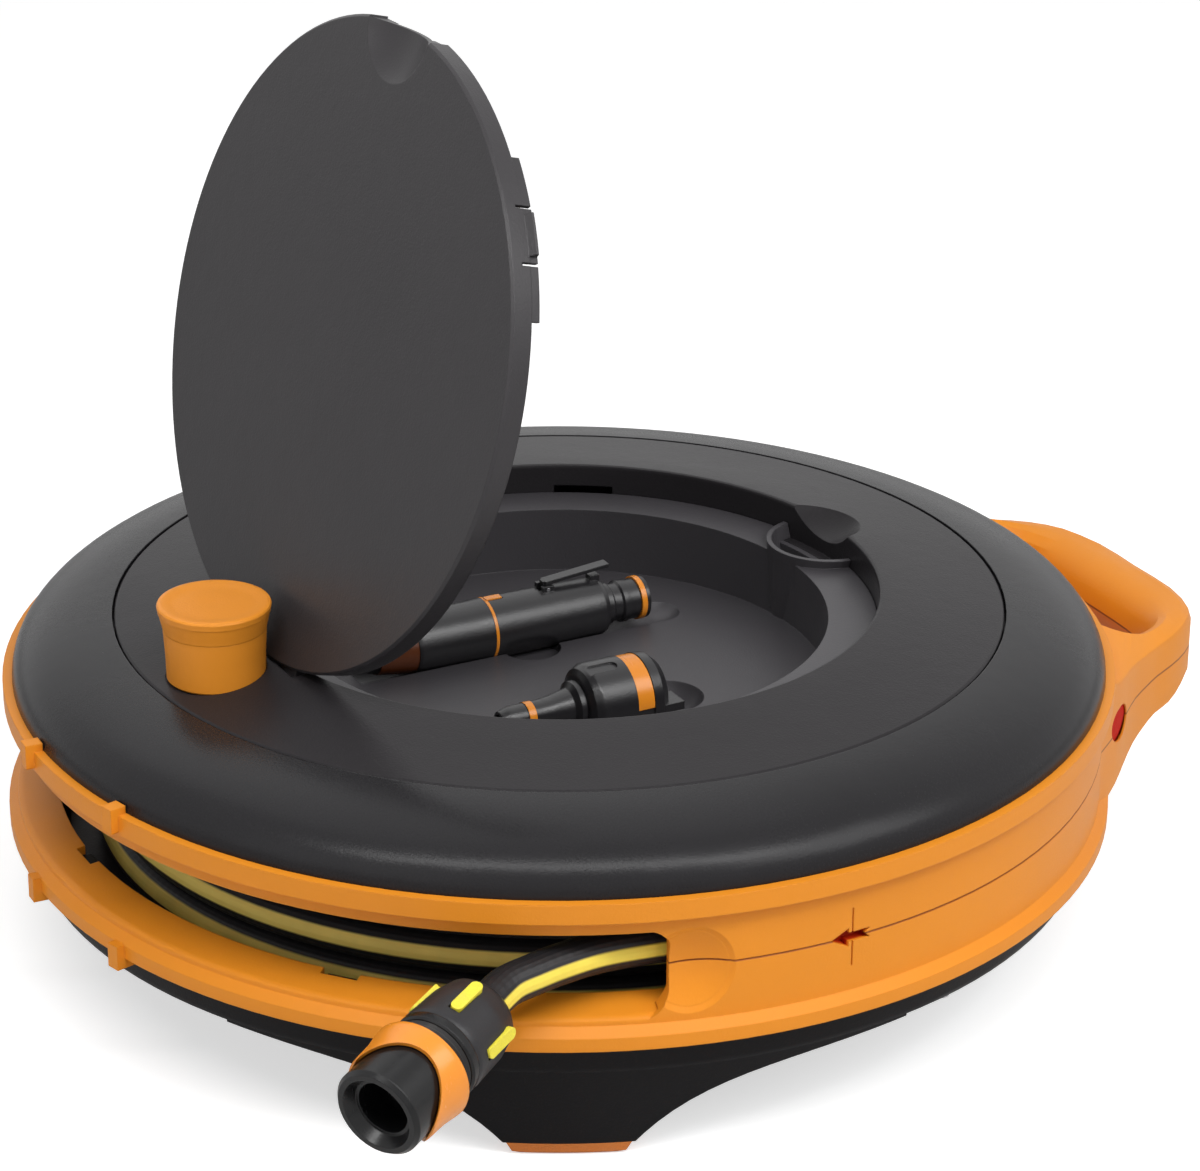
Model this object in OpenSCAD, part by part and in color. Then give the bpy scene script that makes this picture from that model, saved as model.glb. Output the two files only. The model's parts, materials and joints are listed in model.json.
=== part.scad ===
// Enclosed garden hose reel: a turning drum between an orange ring frame and
// a black base, with a storage well under a hinged lid. Millimetres, floor at z = 0.
// The modules are drawn round the drum's axis and moved by at_axis().

/* [Ring frame] */
// Radius of the ring's outer wall
ring_r = 260; // [254:1:266]
// How far both lips stand out of the wall
lip_out = 4.5; // [3.5:0.5:6]
// Thickness of the moulded walls
wall = 3; // [2.6:0.1:3.4]
// Height of the upper lip's band
lip_band = 9.4; // [8:0.2:11]
// Height of the ring's underside
ring_z0 = 62; // [60:1:64]
// Height of the seam between the two halves
split_z = 98; // [95:1:101]
// Height of the ring's top
ring_z1 = 132.6; // [131.6:0.2:136]
// Half of the angle that the hose slot takes
slot_half = 69.5; // [60:0.5:72]
// Height of the slot's upper edge
slot_top = 116; // [112:1:118]
// Depth of the shelf inside the slot
shelf_w = 19; // [17:1:21]
// Azimuths of the standing ribs
rib_az = [-95.7, -78.7];

/* [Handle] */
// Azimuth of the handle's middle
handle_az = 85.5; // [80:0.5:95]
// Reach of the grip beyond the ring's wall
handle_out = 73; // [68:1:80]
// Half of the grip's width
grip_half = 82; // [76:1:88]
// Half of the grip's height
grip_z = 17; // [15:0.5:19]

/* [Base] */
// Height of the pan's underside
pan_z = 45; // [43:1:47]
// How far the base stands inside the ring's wall
base_in = 5; // [4:0.5:7]
// Height of the rubber pads
pad_h = 6; // [4:1:8]
// Half of a foot's width at its pad
foot_half = 29; // [25:1:33]
// Length over which a foot flares into the pan
foot_flare = 33; // [28:1:36]

/* [Drum] */
// Outer diameter of the hose
hose_d = 18; // [17:0.2:18.4]
// Turns in each layer of hose
turns = 4; // [3:1:4]
// Layers of hose on the barrel
layers = 3; // [2:1:3]
// Radius of the barrel
barrel_r = 169.4; // [167:0.2:171]
// Running gap between the drum's flanges and the shelf
drum_gap = 5; // [4:0.5:7]

/* [Cover and crank disc] */
// Radius of the seam between cover and disc
seam_r = 212; // [208:1:215]
// Height of the disc at the well's rim
disc_z = 167; // [166:0.5:169]
// Fall of the disc for each millimetre outwards
disc_slope = 0.121; // [0.11:0.001:0.13]
// Radius of the well
well_r = 151.6; // [150.6:0.2:152.4]

/* [Storage tub] */
// Height of the ledge
ledge_z = 152; // [151:0.5:152.5]
// Radius of the tub below the ledge
tub_r = 128; // [126:1:130]
// Height of the tub's floor
floor_z = 119; // [117:1:120]

/* [Lid] */
// Radius of the lid
lid_r = 148; // [147:0.2:148.6]
// Depth of the lid's skirt
skirt_h = 10; // [9:0.5:10.5]
// How far the lid stands open
lid_open = 75.15; // [70:0.05:78]
// Radius of the finger dent
dent_r = 27; // [24:1:28]

/* [Crank knob] */
// Distance of the knob from the drum's axis
knob_arm = 182; // [181.6:0.2:184]
// Radius of the knob's top
knob_r = 26; // [24:0.5:26.4]
// Height of the knob's top
knob_z1 = 197.6; // [192:0.2:202]

/* [Water path] */
// Radius of the hollow spindle
spindle_r = 12; // [11:0.5:13]
// Radius of the water bore
bore_r = 6; // [5:0.5:6.5]
// Radius of the supply pipe
pipe_r = 9; // [8.5:0.5:10]
// Radius of the inlet nipple's sealing land
nipple_r = 8.25; // [7.5:0.25:9]
// Azimuth of the inlet
inlet_az = 150; // [146:1:154]

/* [Hose connector] */
// Radius of the connector's muzzle
muzzle_r = 20.4; // [18.6:0.2:20.8]
// Radius of the connector's nut
nut_r = 20.6; // [19.6:0.2:21.2]
// Length of the connector
connector_len = 78; // [76:1:82]
// Travel of the release collar
collar_travel = 5; // [3:0.5:6]

/* [Hidden] */
$fn = 96;
eps = 0.01;
fit = 0.3;
run = 0.05;
black = [0.13, 0.13, 0.14];
dark = [0.08, 0.08, 0.09];
orange = [0.93, 0.45, 0.1];
steel = [0.72, 0.72, 0.74];
yellow = [0.95, 0.9, 0.25];

// Frame ring heights and radii
lip_r = ring_r + lip_out;
in_r = ring_r - wall;
shelf_r = ring_r - shelf_w;
shelf_rise = 6;
lip_low_z = ring_z0 + 6.4;
shelf_edge_z = lip_low_z + 3.8;
shelf_step = 3.4;
shelf_z = shelf_edge_z + shelf_rise;
lip_high_z = ring_z1 - lip_band;
rebate_r = ring_r - 6;
rebate_z = ring_z0 + 4;
slot_round_top = 11;
slot_round_low = 17;
scoop_r = 38;
scoop_depth = 6.2;
seam_cut = 0.5;
rib_out = 4;
rib_w = 7;
rib_r = lip_r + rib_out;
arrow_az = -2.1;
arrow_len = 20;
arrow_h = 9;
oval_h = 18;
oval_w = 32;
pad_in = 8;
boss_x = 40;
boss_y = handle_out - 11.5;

// Tie screws go up through base, ring and cover
tie_az = [12, 51, 90, 129, 168];
tie_r = ring_r - 11.5;
post_r = 5;
hook_az = [-54, -94, -134];
tie_shank = 2.5;
cover_boss_z = ring_z1 + 8;

// Base
base_r = ring_r - base_in;
pan_top = pan_z + wall;
foot_az = [-30, 90, 210];
foot_reach = 150;
foot_out = base_r - 9;
foot_in = base_r - 45;

// Drum heights
glide_h = 2.2;
spool_z = pan_top + glide_h + fit;
flange_z = spool_z + wall;
turn_gap = 0.6;
pitch = hose_d + turn_gap;
wind_z = flange_z + 0.4 + hose_d / 2;
upper_z = flange_z + 0.4 + turns * pitch;
wind_r = barrel_r + hose_d * (layers - 0.5);
flange_r = shelf_r - drum_gap;
skirt_z = upper_z + wall;
neck_r = barrel_r - wall - fit;
spool_top = ledge_z - 7;
hub_top = spool_z + 49;
hub_r = spindle_r + 10;
bush_r = spindle_r + 4;
port_z = spool_z + 27;
spindle_top = hub_top + 6;
disc_post_az = [50:60:350];

// Cover and disc
seam_gap = 1;
disc_r = seam_r - seam_gap;
function disc_top(r) = disc_z - disc_slope * (r - well_r);
cover_z = disc_top(disc_r);
lip_drop = 8;
disc_shelf_z = ledge_z - wall;

// Lid hinge
hinge_r = well_r + 0.6;
hinge_z = disc_z - 7;
pin_r = 2;
knuckle_r = 4.2;
knuckle_x = [12, 26];
pin_half = 32;
block_half = 35;
block_out = 6;
lid_under = disc_z - wall;
tab_half = 14.5;
tab_az = [35.5, 144.5];
dent_sphere = (dent_r * dent_r + 81) / 18;

// Knob
knob_foot_r = knob_r - 3.4;
knob_seat_z = disc_top(knob_arm + knob_foot_r) - 0.2;
knob_z0 = knob_seat_z + fit;
axle_r = 4;
rim_h = 4;

// Inlet under the pan
pipe_z = 25;
elbow_r = spindle_r + 4;
pipe_end = base_r - 33;
nipple_len = 36;

// Hose tail, from its start on the winding to the connector's back
tail = [[188.5, 137, 96], [212.9, 94.8, 96], [227.9, 48.4, 96], [233, 0, 96], [231, -33, 97],
    [226.5, -62, 98], [221, -88, 98.8], [217.5, -112, 99.3], [217, -131, 98.6], [217.6, -145, 97.6],
    [218.6, -158.3, 95.9], [226.5, -174.2, 93.2]];
connector_az = -63.7;
connector_dip = 8.6;
lead = [[56, 0], [80, -2], [114, -18], [136, -50], [140, -84], [130, -114]];

// Accessories in the tub
nozzle_at = [-44.5, 1.4, floor_z + 10];
nozzle_turn = -3.6;
nozzle_r = 15.5;
tap_at = [46, -8, floor_z + 6];
tap_turn = -3;
tap_r = 19;
lever_y = 16;
lever_tilt = 5;

// Outline of the handle from its root to the grip's middle: outer side, rim of the hole at the
// top, rim of the hole at mid height (x, and y from the ring's wall), height above the seam at
// the outer side and at the rim, depth below the seam, radius of the outer edges
gx = grip_half;
gy = handle_out;
gz = grip_z;
half_handle = [
    [[gx + 72, -51], [72, -13], [73.8, -13.83], 33, 34, 33.5, 2],
    [[gx + 54, -29], [87, -9], [78, -11], 26, 32, 29.5, 2],
    [[gx + 40, -15], [91.5, 2], [80, 0], 22.5, 27.5, 28, 2],
    [[gx + 27.5, -1.5], [90, 12], [79.5, 9], gz + 2.5, gz + 7, 25, 2],
    [[gx + 18.4, 11], [86, 19], [77, 15], gz + 1, gz + 4.5, 22.5, 2.2],
    [[gx + 10.3, 23], [81, 27.5], [73, 22.5], gz, gz + 3, 21.2, 2.6],
    [[gx + 2.5, 37], [74.5, 37], [67, 31], gz, gz + 2, gz + 4.5, 3.2],
    [[gx - 7.5, gy - 21.5], [62, 48.5], [56, 38], gz + 0.5, gz + 1, gz + 2.5, 5],
    [[gx - 22, gy - 8.5], [44, gy - 15.5], [38, 41], gz + 0.5, gz + 0.5, gz + 1, 7],
    [[gx - 48, gy - 0.7], [20, gy - 14.5], [18, 41.5], gz + 0.5, gz + 0.5, gz, 8],
    [[0, gy], [0, gy - 14.5], [0, 41.5], gz + 0.5, gz + 0.5, gz, 8]];
function flip(s) = [[-s[0][0], s[0][1]], [-s[1][0], s[1][1]], [-s[2][0], s[2][1]], s[3], s[4], s[5], s[6]];
function whole_handle() = let (n = len(half_handle))
    concat(half_handle, [for (i = [n - 2:-1:0]) flip(half_handle[i])]);

// Catmull-Rom blend of four values
function blend(a, b, c, d, t) =
    0.5 * (2 * b + (c - a) * t + (2 * a - 5 * b + 4 * c - d) * t * t + (3 * b - a - 3 * c + d) * t * t * t);
function spline(p, steps) = let (n = len(p)) concat([for (i = [0:n - 2], k = [0:steps - 1])
    blend(p[max(0, i - 1)], p[i], p[i + 1], p[min(n - 1, i + 2)], k / steps)], [p[n - 1]]);
function column(rows, k) = [for (r = rows) r[k]];
function stations(steps) = let (w = whole_handle(), c = [for (k = [0:6]) spline(column(w, k), steps)])
    [for (i = [0:len(c[0]) - 1]) [for (k = [0:6]) c[k][i]]];
function unit(v) = v / norm(v);
// Half of a cross-section above (dir 1) or below (dir -1) the seam, drawn in by the wall
function half_section(s, inset, dir) = let (
        across = unit(s[1] - s[0]),
        o = s[0] + inset * across,
        t = s[1] - inset * across * 0.8,
        m = s[2] - inset * across,
        side = (dir > 0 ? s[3] : s[5]) - inset,
        rim = (dir > 0 ? s[4] : s[5]) - inset,
        e = max(s[6] - inset, 0.6),
        at = function(p, z) [p[0], ring_r + p[1], split_z + dir * z])
    concat([at(o, 0), at(o, side - e), at(o + 0.29 * e * across, side - 0.29 * e), at(o + e * across, side)],
        [for (a = [0:22.5:90]) at(t + (m - t) * sin(a), rim * cos(a))]);
// Wall of the handle's half: outer skin, inner skin and the two edges on the seam
module handle_wall(dir) {
    rows = stations(2);
    n = 9;
    points = [for (s = rows) each concat(half_section(s, 0, dir), half_section(s, wall, dir))];
    quads = [for (i = [0:len(rows) - 2], q = concat([for (j = [0:n - 2]) [j, j + 1]], [for (j = [0:n - 2]) [n + j + 1, n + j]],
        [[n, 0], [n - 1, 2 * n - 1]])) [i * 2 * n + q[0], i * 2 * n + q[1], (i + 1) * 2 * n + q[1], (i + 1) * 2 * n + q[0]]];
    ends = [for (j = [0:n - 2], e = [0, (len(rows) - 1) * 2 * n]) e > 0 ? [e + j, e + n + j, e + n + j + 1, e + j + 1] :
        [j, j + 1, n + j + 1, n + j]];
    faces = [for (f = concat(quads, [for (f = ends) [f[3], f[2], f[1], f[0]]])) each [[f[0], f[1], f[2]], [f[0], f[2], f[3]]]];
    polyhedron(points, [for (f = faces) dir > 0 ? f : [f[2], f[1], f[0]]], convexity = 8);
}

// Skin over rings of points, with both ends closed; each ring runs the same way round
module skin(rings) {
    n = len(rings[0]);
    m = len(rings);
    points = [for (r = rings) for (p = r) p];
    sides = [for (i = [0:m - 2], j = [0:n - 1]) let (k = (j + 1) % n)
        [i * n + j, i * n + k, (i + 1) * n + k, (i + 1) * n + j]];
    split = [for (f = sides) each [[f[0], f[1], f[2]], [f[0], f[2], f[3]]]];
    first = [for (j = [n - 1:-1:0]) j];
    last = [for (j = [0:n - 1]) (m - 1) * n + j];
    polyhedron(points, concat(split, [first, last]), convexity = 8);
}

// Frames carried along a path, for round tubes
function heading(p, i) = unit(p[min(len(p) - 1, i + 1)] - p[max(0, i - 1)]);
function tube_rings(p, r, sides) = [for (i = [0:len(p) - 1]) let (
        d = heading(p, i),
        side = unit(cross([0, 0, 1], d)),
        up = cross(d, side))
    [for (j = [0:sides - 1]) let (a = 360 * (j + 0.5) / sides) p[i] + r * (side * cos(a) + up * sin(a))]];

function axis_shift() = let (
        turn = handle_az - 90,
        top = max([for (s = stations(4)) s[0][0] * sin(turn) + (ring_r + s[0][1]) * cos(turn)]),
        low = min([for (a = rib_az) rib_r * sin(a) - rib_w / 2 * abs(cos(a))]))
    -(top + low) / 2;
axis_y = axis_shift();
echo(axis_y = axis_y);

module at_axis() translate([0, axis_y, 0]) children();
module az(a) rotate([0, 0, a]) children();
module disc(r, z0, z1) translate([0, 0, z0]) cylinder(r = r, h = z1 - z0);
module ring(r0, r1, z0, z1) difference() {
    disc(r1, z0, z1);
    disc(r0, z0 - 1, z1 + 1);
}
module sector(a0, a1) rotate([0, 0, a0]) rotate_extrude(angle = a1 - a0) children();
module radial(r, a, z) az(a) translate([r, 0, z]) rotate([0, 90, 0]) children();
module screw(shank, head, head_h, length) {
    cylinder(r = head, h = head_h);
    translate([0, 0, head_h]) cylinder(r = shank, h = length - head_h);
}

module handle_half(dir) az(handle_az - 90) {
    handle_wall(dir);
    for (x = [-boss_x, boss_x]) translate([x, ring_r + boss_y, 0])
        disc(post_r, split_z + (dir > 0 ? 0 : 1.5 - grip_z), split_z + (dir > 0 ? grip_z - 1.5 : 0));
}
// Oval cable pocket in the side of the handle's root
module root_oval() az(handle_az - 90) translate([132, ring_r - 27, split_z + 2]) rotate([0, 90, 42]) rotate([0, 0, -14])
    linear_extrude(height = 26, center = true)
        polygon([for (a = [0:12:348]) [oval_h / 2 * cos(a), oval_w / 2 * sin(a)]]);
module handle_drill(z0, z1, r) az(handle_az - 90) for (x = [-boss_x, boss_x])
    translate([x, ring_r + boss_y, 0]) disc(r, z0, z1);
module posts(z0, z1, web) for (a = tie_az) az(a) {
    translate([tie_r, 0, 0]) disc(post_r, z0, z1);
    if (web) translate([tie_r, -2, z0]) cube([in_r - tie_r + 1, 4, z1 - z0]);
}
module post_holes(z0, z1, r) for (a = tie_az) az(a) translate([tie_r, 0, 0]) disc(r, z0, z1);

// Hose slot: a funnel from the shelf's edge, with rounded corners and a dish at each end
module slot_cut() difference() {
    sector(-90 - slot_half, -90 + slot_half) polygon([[funnel_in, funnel_z(funnel_in)],
        [ring_r - 3.2, funnel_z(ring_r - 3.2)], [ring_r - 1.3, funnel_z(ring_r) - 0.4],
        [ring_r - 0.3, funnel_z(ring_r) - 1.2], [ring_r + 0.3, funnel_z(ring_r) - 2.6],
        [funnel_out, funnel_z(ring_r) - 2.6], [funnel_out, slot_top], [funnel_in, slot_top]]);
    for (s = [0, 1]) az(-90) mirror([0, s, 0]) az(slot_half) {
        slot_corner(slot_round_top, slot_top, 1);
        slot_corner(slot_round_low, funnel_z(ring_r) - 2.6, -1);
    }
}
funnel_in = shelf_r - 4;
funnel_out = lip_r + 6;
function funnel_z(r) = shelf_edge_z + shelf_step + (shelf_rise - shelf_step) * (ring_r - r) / shelf_w;
module slot_corner(r, z, dir) translate([funnel_in - 1, -r + 0.4, z - dir * (r - 0.4)]) rotate([90, 0, 90])
    linear_extrude(height = funnel_out - funnel_in + 2) difference() {
        translate([0, dir > 0 ? 0 : -r - 3]) square([r + 4, r + 3]);
        polygon([for (a = [5:10:355]) r / cos(5) * [cos(a), sin(a)]]);
    }
module slot_dishes(grow = 0) for (a = [-90 - slot_half - 2, -90 + slot_half + 2])
    az(a) translate([ring_r + scoop_r - scoop_depth, 0, (shelf_edge_z + slot_top) / 2 + 2]) sphere(r = scoop_r + grow);
module slot_pads(z0, z1) for (s = [-1, 1]) let (a = -90 + s * slot_half)
    sector(min(a - 5 * s, a + s * pad_in), max(a - 5 * s, a + s * pad_in)) translate([in_r - wall - 3.2, z0])
        square([wall + 4.7, z1 - z0]);
module ribs(r0, z0, z1) for (a = rib_az) az(a) translate([r0, -rib_w / 2, z0])
    cube([rib_r - r0, rib_w, z1 - z0]);
// Direction mark: a sunk arrow on the seam with a fine line across it
module arrow_cut() az(arrow_az) translate([ring_r - 6, 0, split_z + 0.2]) rotate([90, 0, 90]) linear_extrude(height = 10) {
    polygon([[-arrow_len / 2, 0], [-1, arrow_h / 2], [-1, arrow_h / 4], [arrow_len / 2, arrow_h / 4],
        [arrow_len / 2 - 3, 0], [arrow_len / 2, -arrow_h / 4], [-1, -arrow_h / 4], [-1, -arrow_h / 2]]);
}
module arrow_line() az(arrow_az) translate([ring_r - 1, 0.5, split_z - 14]) cube([3, 0.8, 28]);
module arrow_back(z0, z1) sector(arrow_az - 4, arrow_az + 4) translate([in_r - 6, z0]) square([7.5, z1 - z0]);

module frame_lower() color(orange) at_axis() {
    difference() {
        rotate_extrude() polygon([[rebate_r, ring_z0], [lip_r, ring_z0], [lip_r, lip_low_z],
            [ring_r, shelf_edge_z], [ring_r, split_z - seam_cut], [ring_r - seam_cut, split_z],
            [in_r, split_z], [in_r, funnel_z(in_r)], [shelf_r, shelf_z], [shelf_r, shelf_z - 8],
            [rebate_r - 4, rebate_z], [rebate_r, rebate_z]]);
        slot_cut();
        slot_dishes();
        arrow_cut();
        arrow_line();
        post_holes(0, split_z + 1, tie_shank + fit);
        for (a = hook_az) az(a) translate([shelf_r - 3, -8.8, ring_z0]) cube([7, 17.6, 20]);
    }
    difference() {
        slot_pads(shelf_z - 1, split_z - fit / 2);
        slot_cut();
        slot_dishes(-0.2);
    }
    difference() {
        posts(rebate_z, split_z, true);
        post_holes(0, split_z + 1, tie_shank + fit);
    }
    difference() {
        arrow_back(split_z - 10, split_z);
        arrow_cut();
    }
    ribs(lip_r - 6, ring_z0 - 4.8, lip_low_z + 0.5);
    difference() {
        handle_half(-1);
        disc(in_r + 1.7, 0, split_z + 1);
        root_oval();
        handle_drill(0, split_z + 1, 2);
        handle_drill(0, split_z - grip_z + 4, 4.2);
    }
}

module frame_upper() color(orange) at_axis() {
    difference() {
        rotate_extrude() polygon([[rebate_r, ring_z1], [lip_r, ring_z1], [lip_r, lip_high_z],
            [ring_r, lip_high_z - 2.3], [ring_r, split_z + seam_cut], [ring_r - seam_cut, split_z],
            [in_r, split_z], [in_r, lip_high_z - 5], [rebate_r, lip_high_z - 2]]);
        slot_cut();
        slot_dishes();
        arrow_cut();
        arrow_line();
        post_holes(split_z - 1, ring_z1, tie_shank + run);
    }
    difference() {
        slot_pads(split_z + fit / 2, lip_high_z - 3);
        slot_cut();
        slot_dishes(-0.2);
    }
    difference() {
        posts(split_z, lip_high_z - 2, true);
        post_holes(split_z - 1, ring_z1, tie_shank + run);
    }
    difference() {
        arrow_back(split_z, split_z + 10);
        arrow_cut();
    }
    ribs(ring_r + fit, lip_high_z + 1.6, ring_z1 + 3.9);
    difference() {
        handle_half(1);
        disc(in_r + 1.7, 0, ring_z1 + 20);
        root_oval();
        handle_drill(split_z - 1, split_z + 11, 1.5 + run);
    }
}

// Domed black cover between the ring and the seam
function dome(t, in) = let (
        a = [ring_r, ring_z1], b = [ring_r, ring_z1 + 16.5], c = [seam_r + 26, cover_z - 2.2], d = [seam_r, cover_z],
        p = a * pow(1 - t, 3) + 3 * b * t * pow(1 - t, 2) + 3 * c * t * t * (1 - t) + d * pow(t, 3),
        v = unit(3 * (b - a) * pow(1 - t, 2) + 6 * (c - b) * t * (1 - t) + 3 * (d - c) * t * t))
    p + in * [-v[1], v[0]];
module cover_ring() color(black) at_axis() difference() {
    union() {
        rotate_extrude() polygon(concat([for (i = [0:16]) dome(i / 16, 0)],
            [[seam_r, cover_z - lip_drop], [seam_r - 8, cover_z - lip_drop], [seam_r - 8, cover_z - lip_drop - 2],
                [seam_r + 2.5, cover_z - lip_drop - 2], [seam_r + 2.5, cover_z - wall - 0.6]],
            [for (i = [14:-1:1]) dome(i / 16, wall)], [[in_r, ring_z1]]));
        ring(rebate_r - fit - 2.6, rebate_r - fit, ring_z1 - 6, cover_boss_z + 2);
        for (a = tie_az) az(a) translate([tie_r - 0.5, 0, 0]) disc(post_r - 0.4, lip_high_z - 2, cover_boss_z + 3);
    }
    post_holes(lip_high_z - 3, cover_boss_z, tie_shank + run);
}

foot_fade = exp((foot_half - foot_reach) / foot_flare);
function foot_edge(x) = pan_z - (pan_z - pad_h) * (exp((foot_half - x) / foot_flare) - foot_fade) / (1 - foot_fade);
module foot_outline(rise) {
    side = [for (i = [0:14]) let (x = foot_half + (foot_reach - foot_half) * pow(i / 14, 1.3)) [x, foot_edge(x) + rise]];
    polygon(concat(side, [[foot_reach, pan_top + 2], [-foot_reach, pan_top + 2]],
        [for (i = [14:-1:0]) [-side[i][0], side[i][1]]]));
}
module foot_block(rise, in) intersection() {
    rotate_extrude() polygon([[foot_in + in, pan_top + 2], [foot_in + in + 6, pad_h + rise],
        [foot_out - in, pad_h + rise], [base_r - 0.5 - in, pan_top + 2]]);
    rotate([90, 0, 90]) linear_extrude(height = base_r + 5) foot_outline(rise);
}
module base_hooks() for (a = hook_az) az(a) translate([shelf_r - 2.5, -8, pan_top + 2]) {
    cube([5, 16, shelf_z - 6 - pan_top]);
    cube([base_r - 1.5 - shelf_r + 2.5, 16, 6]);
    translate([0, 0, shelf_z - 9 - pan_top]) cube([5.6, 16, 3]);
}
module base_shell() color(black) at_axis() {
    base_pan();
    base_hooks();
}
module base_pan() difference() {
    union() {
        rotate_extrude() polygon([[spindle_r + fit, pan_z], [base_r - 4, pan_z], [base_r - 1.2, pan_z + 1.2],
            [base_r, pan_z + 4], [base_r, ring_z0], [rebate_r - fit, ring_z0], [rebate_r - fit, rebate_z - 0.6],
            [rebate_r - 3.7, rebate_z - 0.6], [rebate_r - 3.7, ring_z0], [base_r - wall, ring_z0 - 3],
            [base_r - wall, pan_top], [spindle_r + fit, pan_top]]);
        for (a = foot_az) az(a) intersection() {
            foot_block(0, 0);
            disc(base_r, 0, pan_top);
        }
        posts(pan_z, rebate_z, false);
    }
    for (a = foot_az) az(a) foot_block(4, wall);
    post_holes(pan_z - 1, rebate_z + 1, tie_shank + fit);
    post_holes(pan_z - 1, pan_z + 3, tie_shank + 2.7);
    for (a = [45:90:315]) az(a) translate([hub_r, 0, 0]) disc(1.8, pan_z - 1, pan_top + 1);
}
module foot_pad(a) color(orange) at_axis() az(a) intersection() {
    rotate_extrude() polygon([[foot_in + 8, 0], [foot_out - 2.5, 0], [foot_out - 0.6, 1.6],
        [foot_out, pad_h], [foot_in + 6, pad_h]]);
    rotate([90, 0, 90]) linear_extrude(height = base_r)
        polygon([[-foot_half + 8, 0], [foot_half - 8, 0], [foot_half - 4, 1.6], [foot_half - 1.5, pad_h],
            [-foot_half + 1.5, pad_h], [-foot_half + 4, 1.6]]);
}
module foot_pad_1() foot_pad(foot_az[0]);
module foot_pad_2() foot_pad(foot_az[1]);
module foot_pad_3() foot_pad(foot_az[2]);

module tie_screws() color(steel) at_axis() for (a = tie_az) az(a) translate([tie_r, 0, pan_z])
    screw(tie_shank, tie_shank + 2.2, 3, cover_boss_z - pan_z - 1);
module handle_screws() color(steel) at_axis() az(handle_az - 90) for (x = [-boss_x, boss_x])
    translate([x, ring_r + boss_y, split_z - grip_z + 1]) screw(1.5, 3.8, 3, grip_z + 8.5);

// Hollow spindle, fixed to the pan, that the drum turns on
module hub_spindle() color(dark) at_axis() difference() {
    union() {
        disc(spindle_r, pipe_z + 7, spindle_top);
        disc(hub_r + 5, pan_top, pan_top + glide_h);
    }
    disc(bore_r, pipe_z, port_z + 8);
    for (a = [0, 90]) translate([0, 0, port_z]) rotate([90, 0, a]) cylinder(r = 3.4, h = 3 * spindle_r, center = true);
    ring(spindle_r - 1.2, spindle_r + 1, port_z - 4, port_z + 4);
    for (z = [port_z - 14, port_z + 14]) ring(spindle_r - 3, spindle_r + 1, z - 1.6, z + 1.6);
    ring(spindle_r - 2, spindle_r + 1, hub_top + 1, hub_top + 2.5);
    for (a = [45:90:315]) az(a) translate([hub_r, 0, 0]) disc(1.5, pan_top - 1, pan_top + glide_h - 0.6);
}
module spindle_screws() color(steel) at_axis() for (a = [45:90:315]) az(a)
    translate([hub_r, 0, pan_z - 2]) screw(1.5, 3, 2, wall + 3.4);
module seal(r, z, minor) translate([0, 0, z]) rotate_extrude() translate([r - minor, 0]) circle(r = minor, $fn = 24);
module hub_seals() color(dark) at_axis() for (z = [port_z - 14, port_z + 14]) seal(spindle_r, z, 1.5);
module retaining_ring() color(steel) at_axis() difference() {
    ring(spindle_r - 2 + run, spindle_r + 5, hub_top + 1.1, hub_top + 2.4);
    translate([0, -spindle_r + 3, hub_top]) cube([spindle_r + 6, 2 * (spindle_r - 3), 4]);
}
module glide_ring() color([0.85, 0.85, 0.82]) at_axis() ring(foot_in - 36, foot_in - 28, pan_top, pan_top + glide_h);

// Water inlet below the pan
module inlet_elbow() color(dark) at_axis() difference() {
    union() {
        disc(elbow_r, pipe_z - pipe_r - 4, pan_z);
        radial(0, inlet_az, pipe_z) cylinder(r = pipe_r + 3.5, h = elbow_r + 14);
    }
    disc(spindle_r, pipe_z + 7, pan_z + 1);
    disc(bore_r, pipe_z - 3, pan_z);
    radial(0, inlet_az, pipe_z) cylinder(r = bore_r, h = elbow_r + 20);
    radial(elbow_r, inlet_az, pipe_z) cylinder(r = pipe_r, h = 20);
}
module inlet_pipe() color(black) at_axis() radial(elbow_r, inlet_az, pipe_z) difference() {
    cylinder(r = pipe_r, h = pipe_end - elbow_r);
    translate([0, 0, -1]) cylinder(r = bore_r, h = pipe_end);
}
module pipe_clips() color(black) at_axis() az(inlet_az) for (r = [90, 175]) difference() {
    translate([r, -pipe_r - 5, pipe_z - pipe_r - 4]) cube([14, 2 * pipe_r + 10, pan_z - pipe_z + pipe_r + 4]);
    translate([r - 1, 0, pipe_z]) rotate([0, 90, 0]) cylinder(r = pipe_r + run, h = 16);
}
module inlet_nipple() color(orange) at_axis() radial(pipe_end, inlet_az, pipe_z) difference() {
    rotate_extrude() polygon([[0, -12], [bore_r - run, -12], [bore_r - run, 0], [pipe_r + 3, 0], [pipe_r + 4, 1],
        [pipe_r + 4, 6], [nipple_r + 1.5, 7], [nipple_r + 1.5, 14], [nipple_r - 0.6, 14.6], [nipple_r - 0.6, 18],
        [nipple_r + 1.5, 20], [nipple_r, 22], [nipple_r, 25], [nipple_r - 2, 25], [nipple_r - 2, 28],
        [nipple_r, 28], [nipple_r, 33.5], [nipple_r - 1.5, nipple_len], [0, nipple_len]]);
    translate([0, 0, -13]) cylinder(r = bore_r - 2, h = nipple_len + 14);
}
module nipple_seal() color(dark) at_axis() radial(pipe_end, inlet_az, pipe_z) seal(nipple_r + 0.3, 26.5, 1.15);

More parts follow.
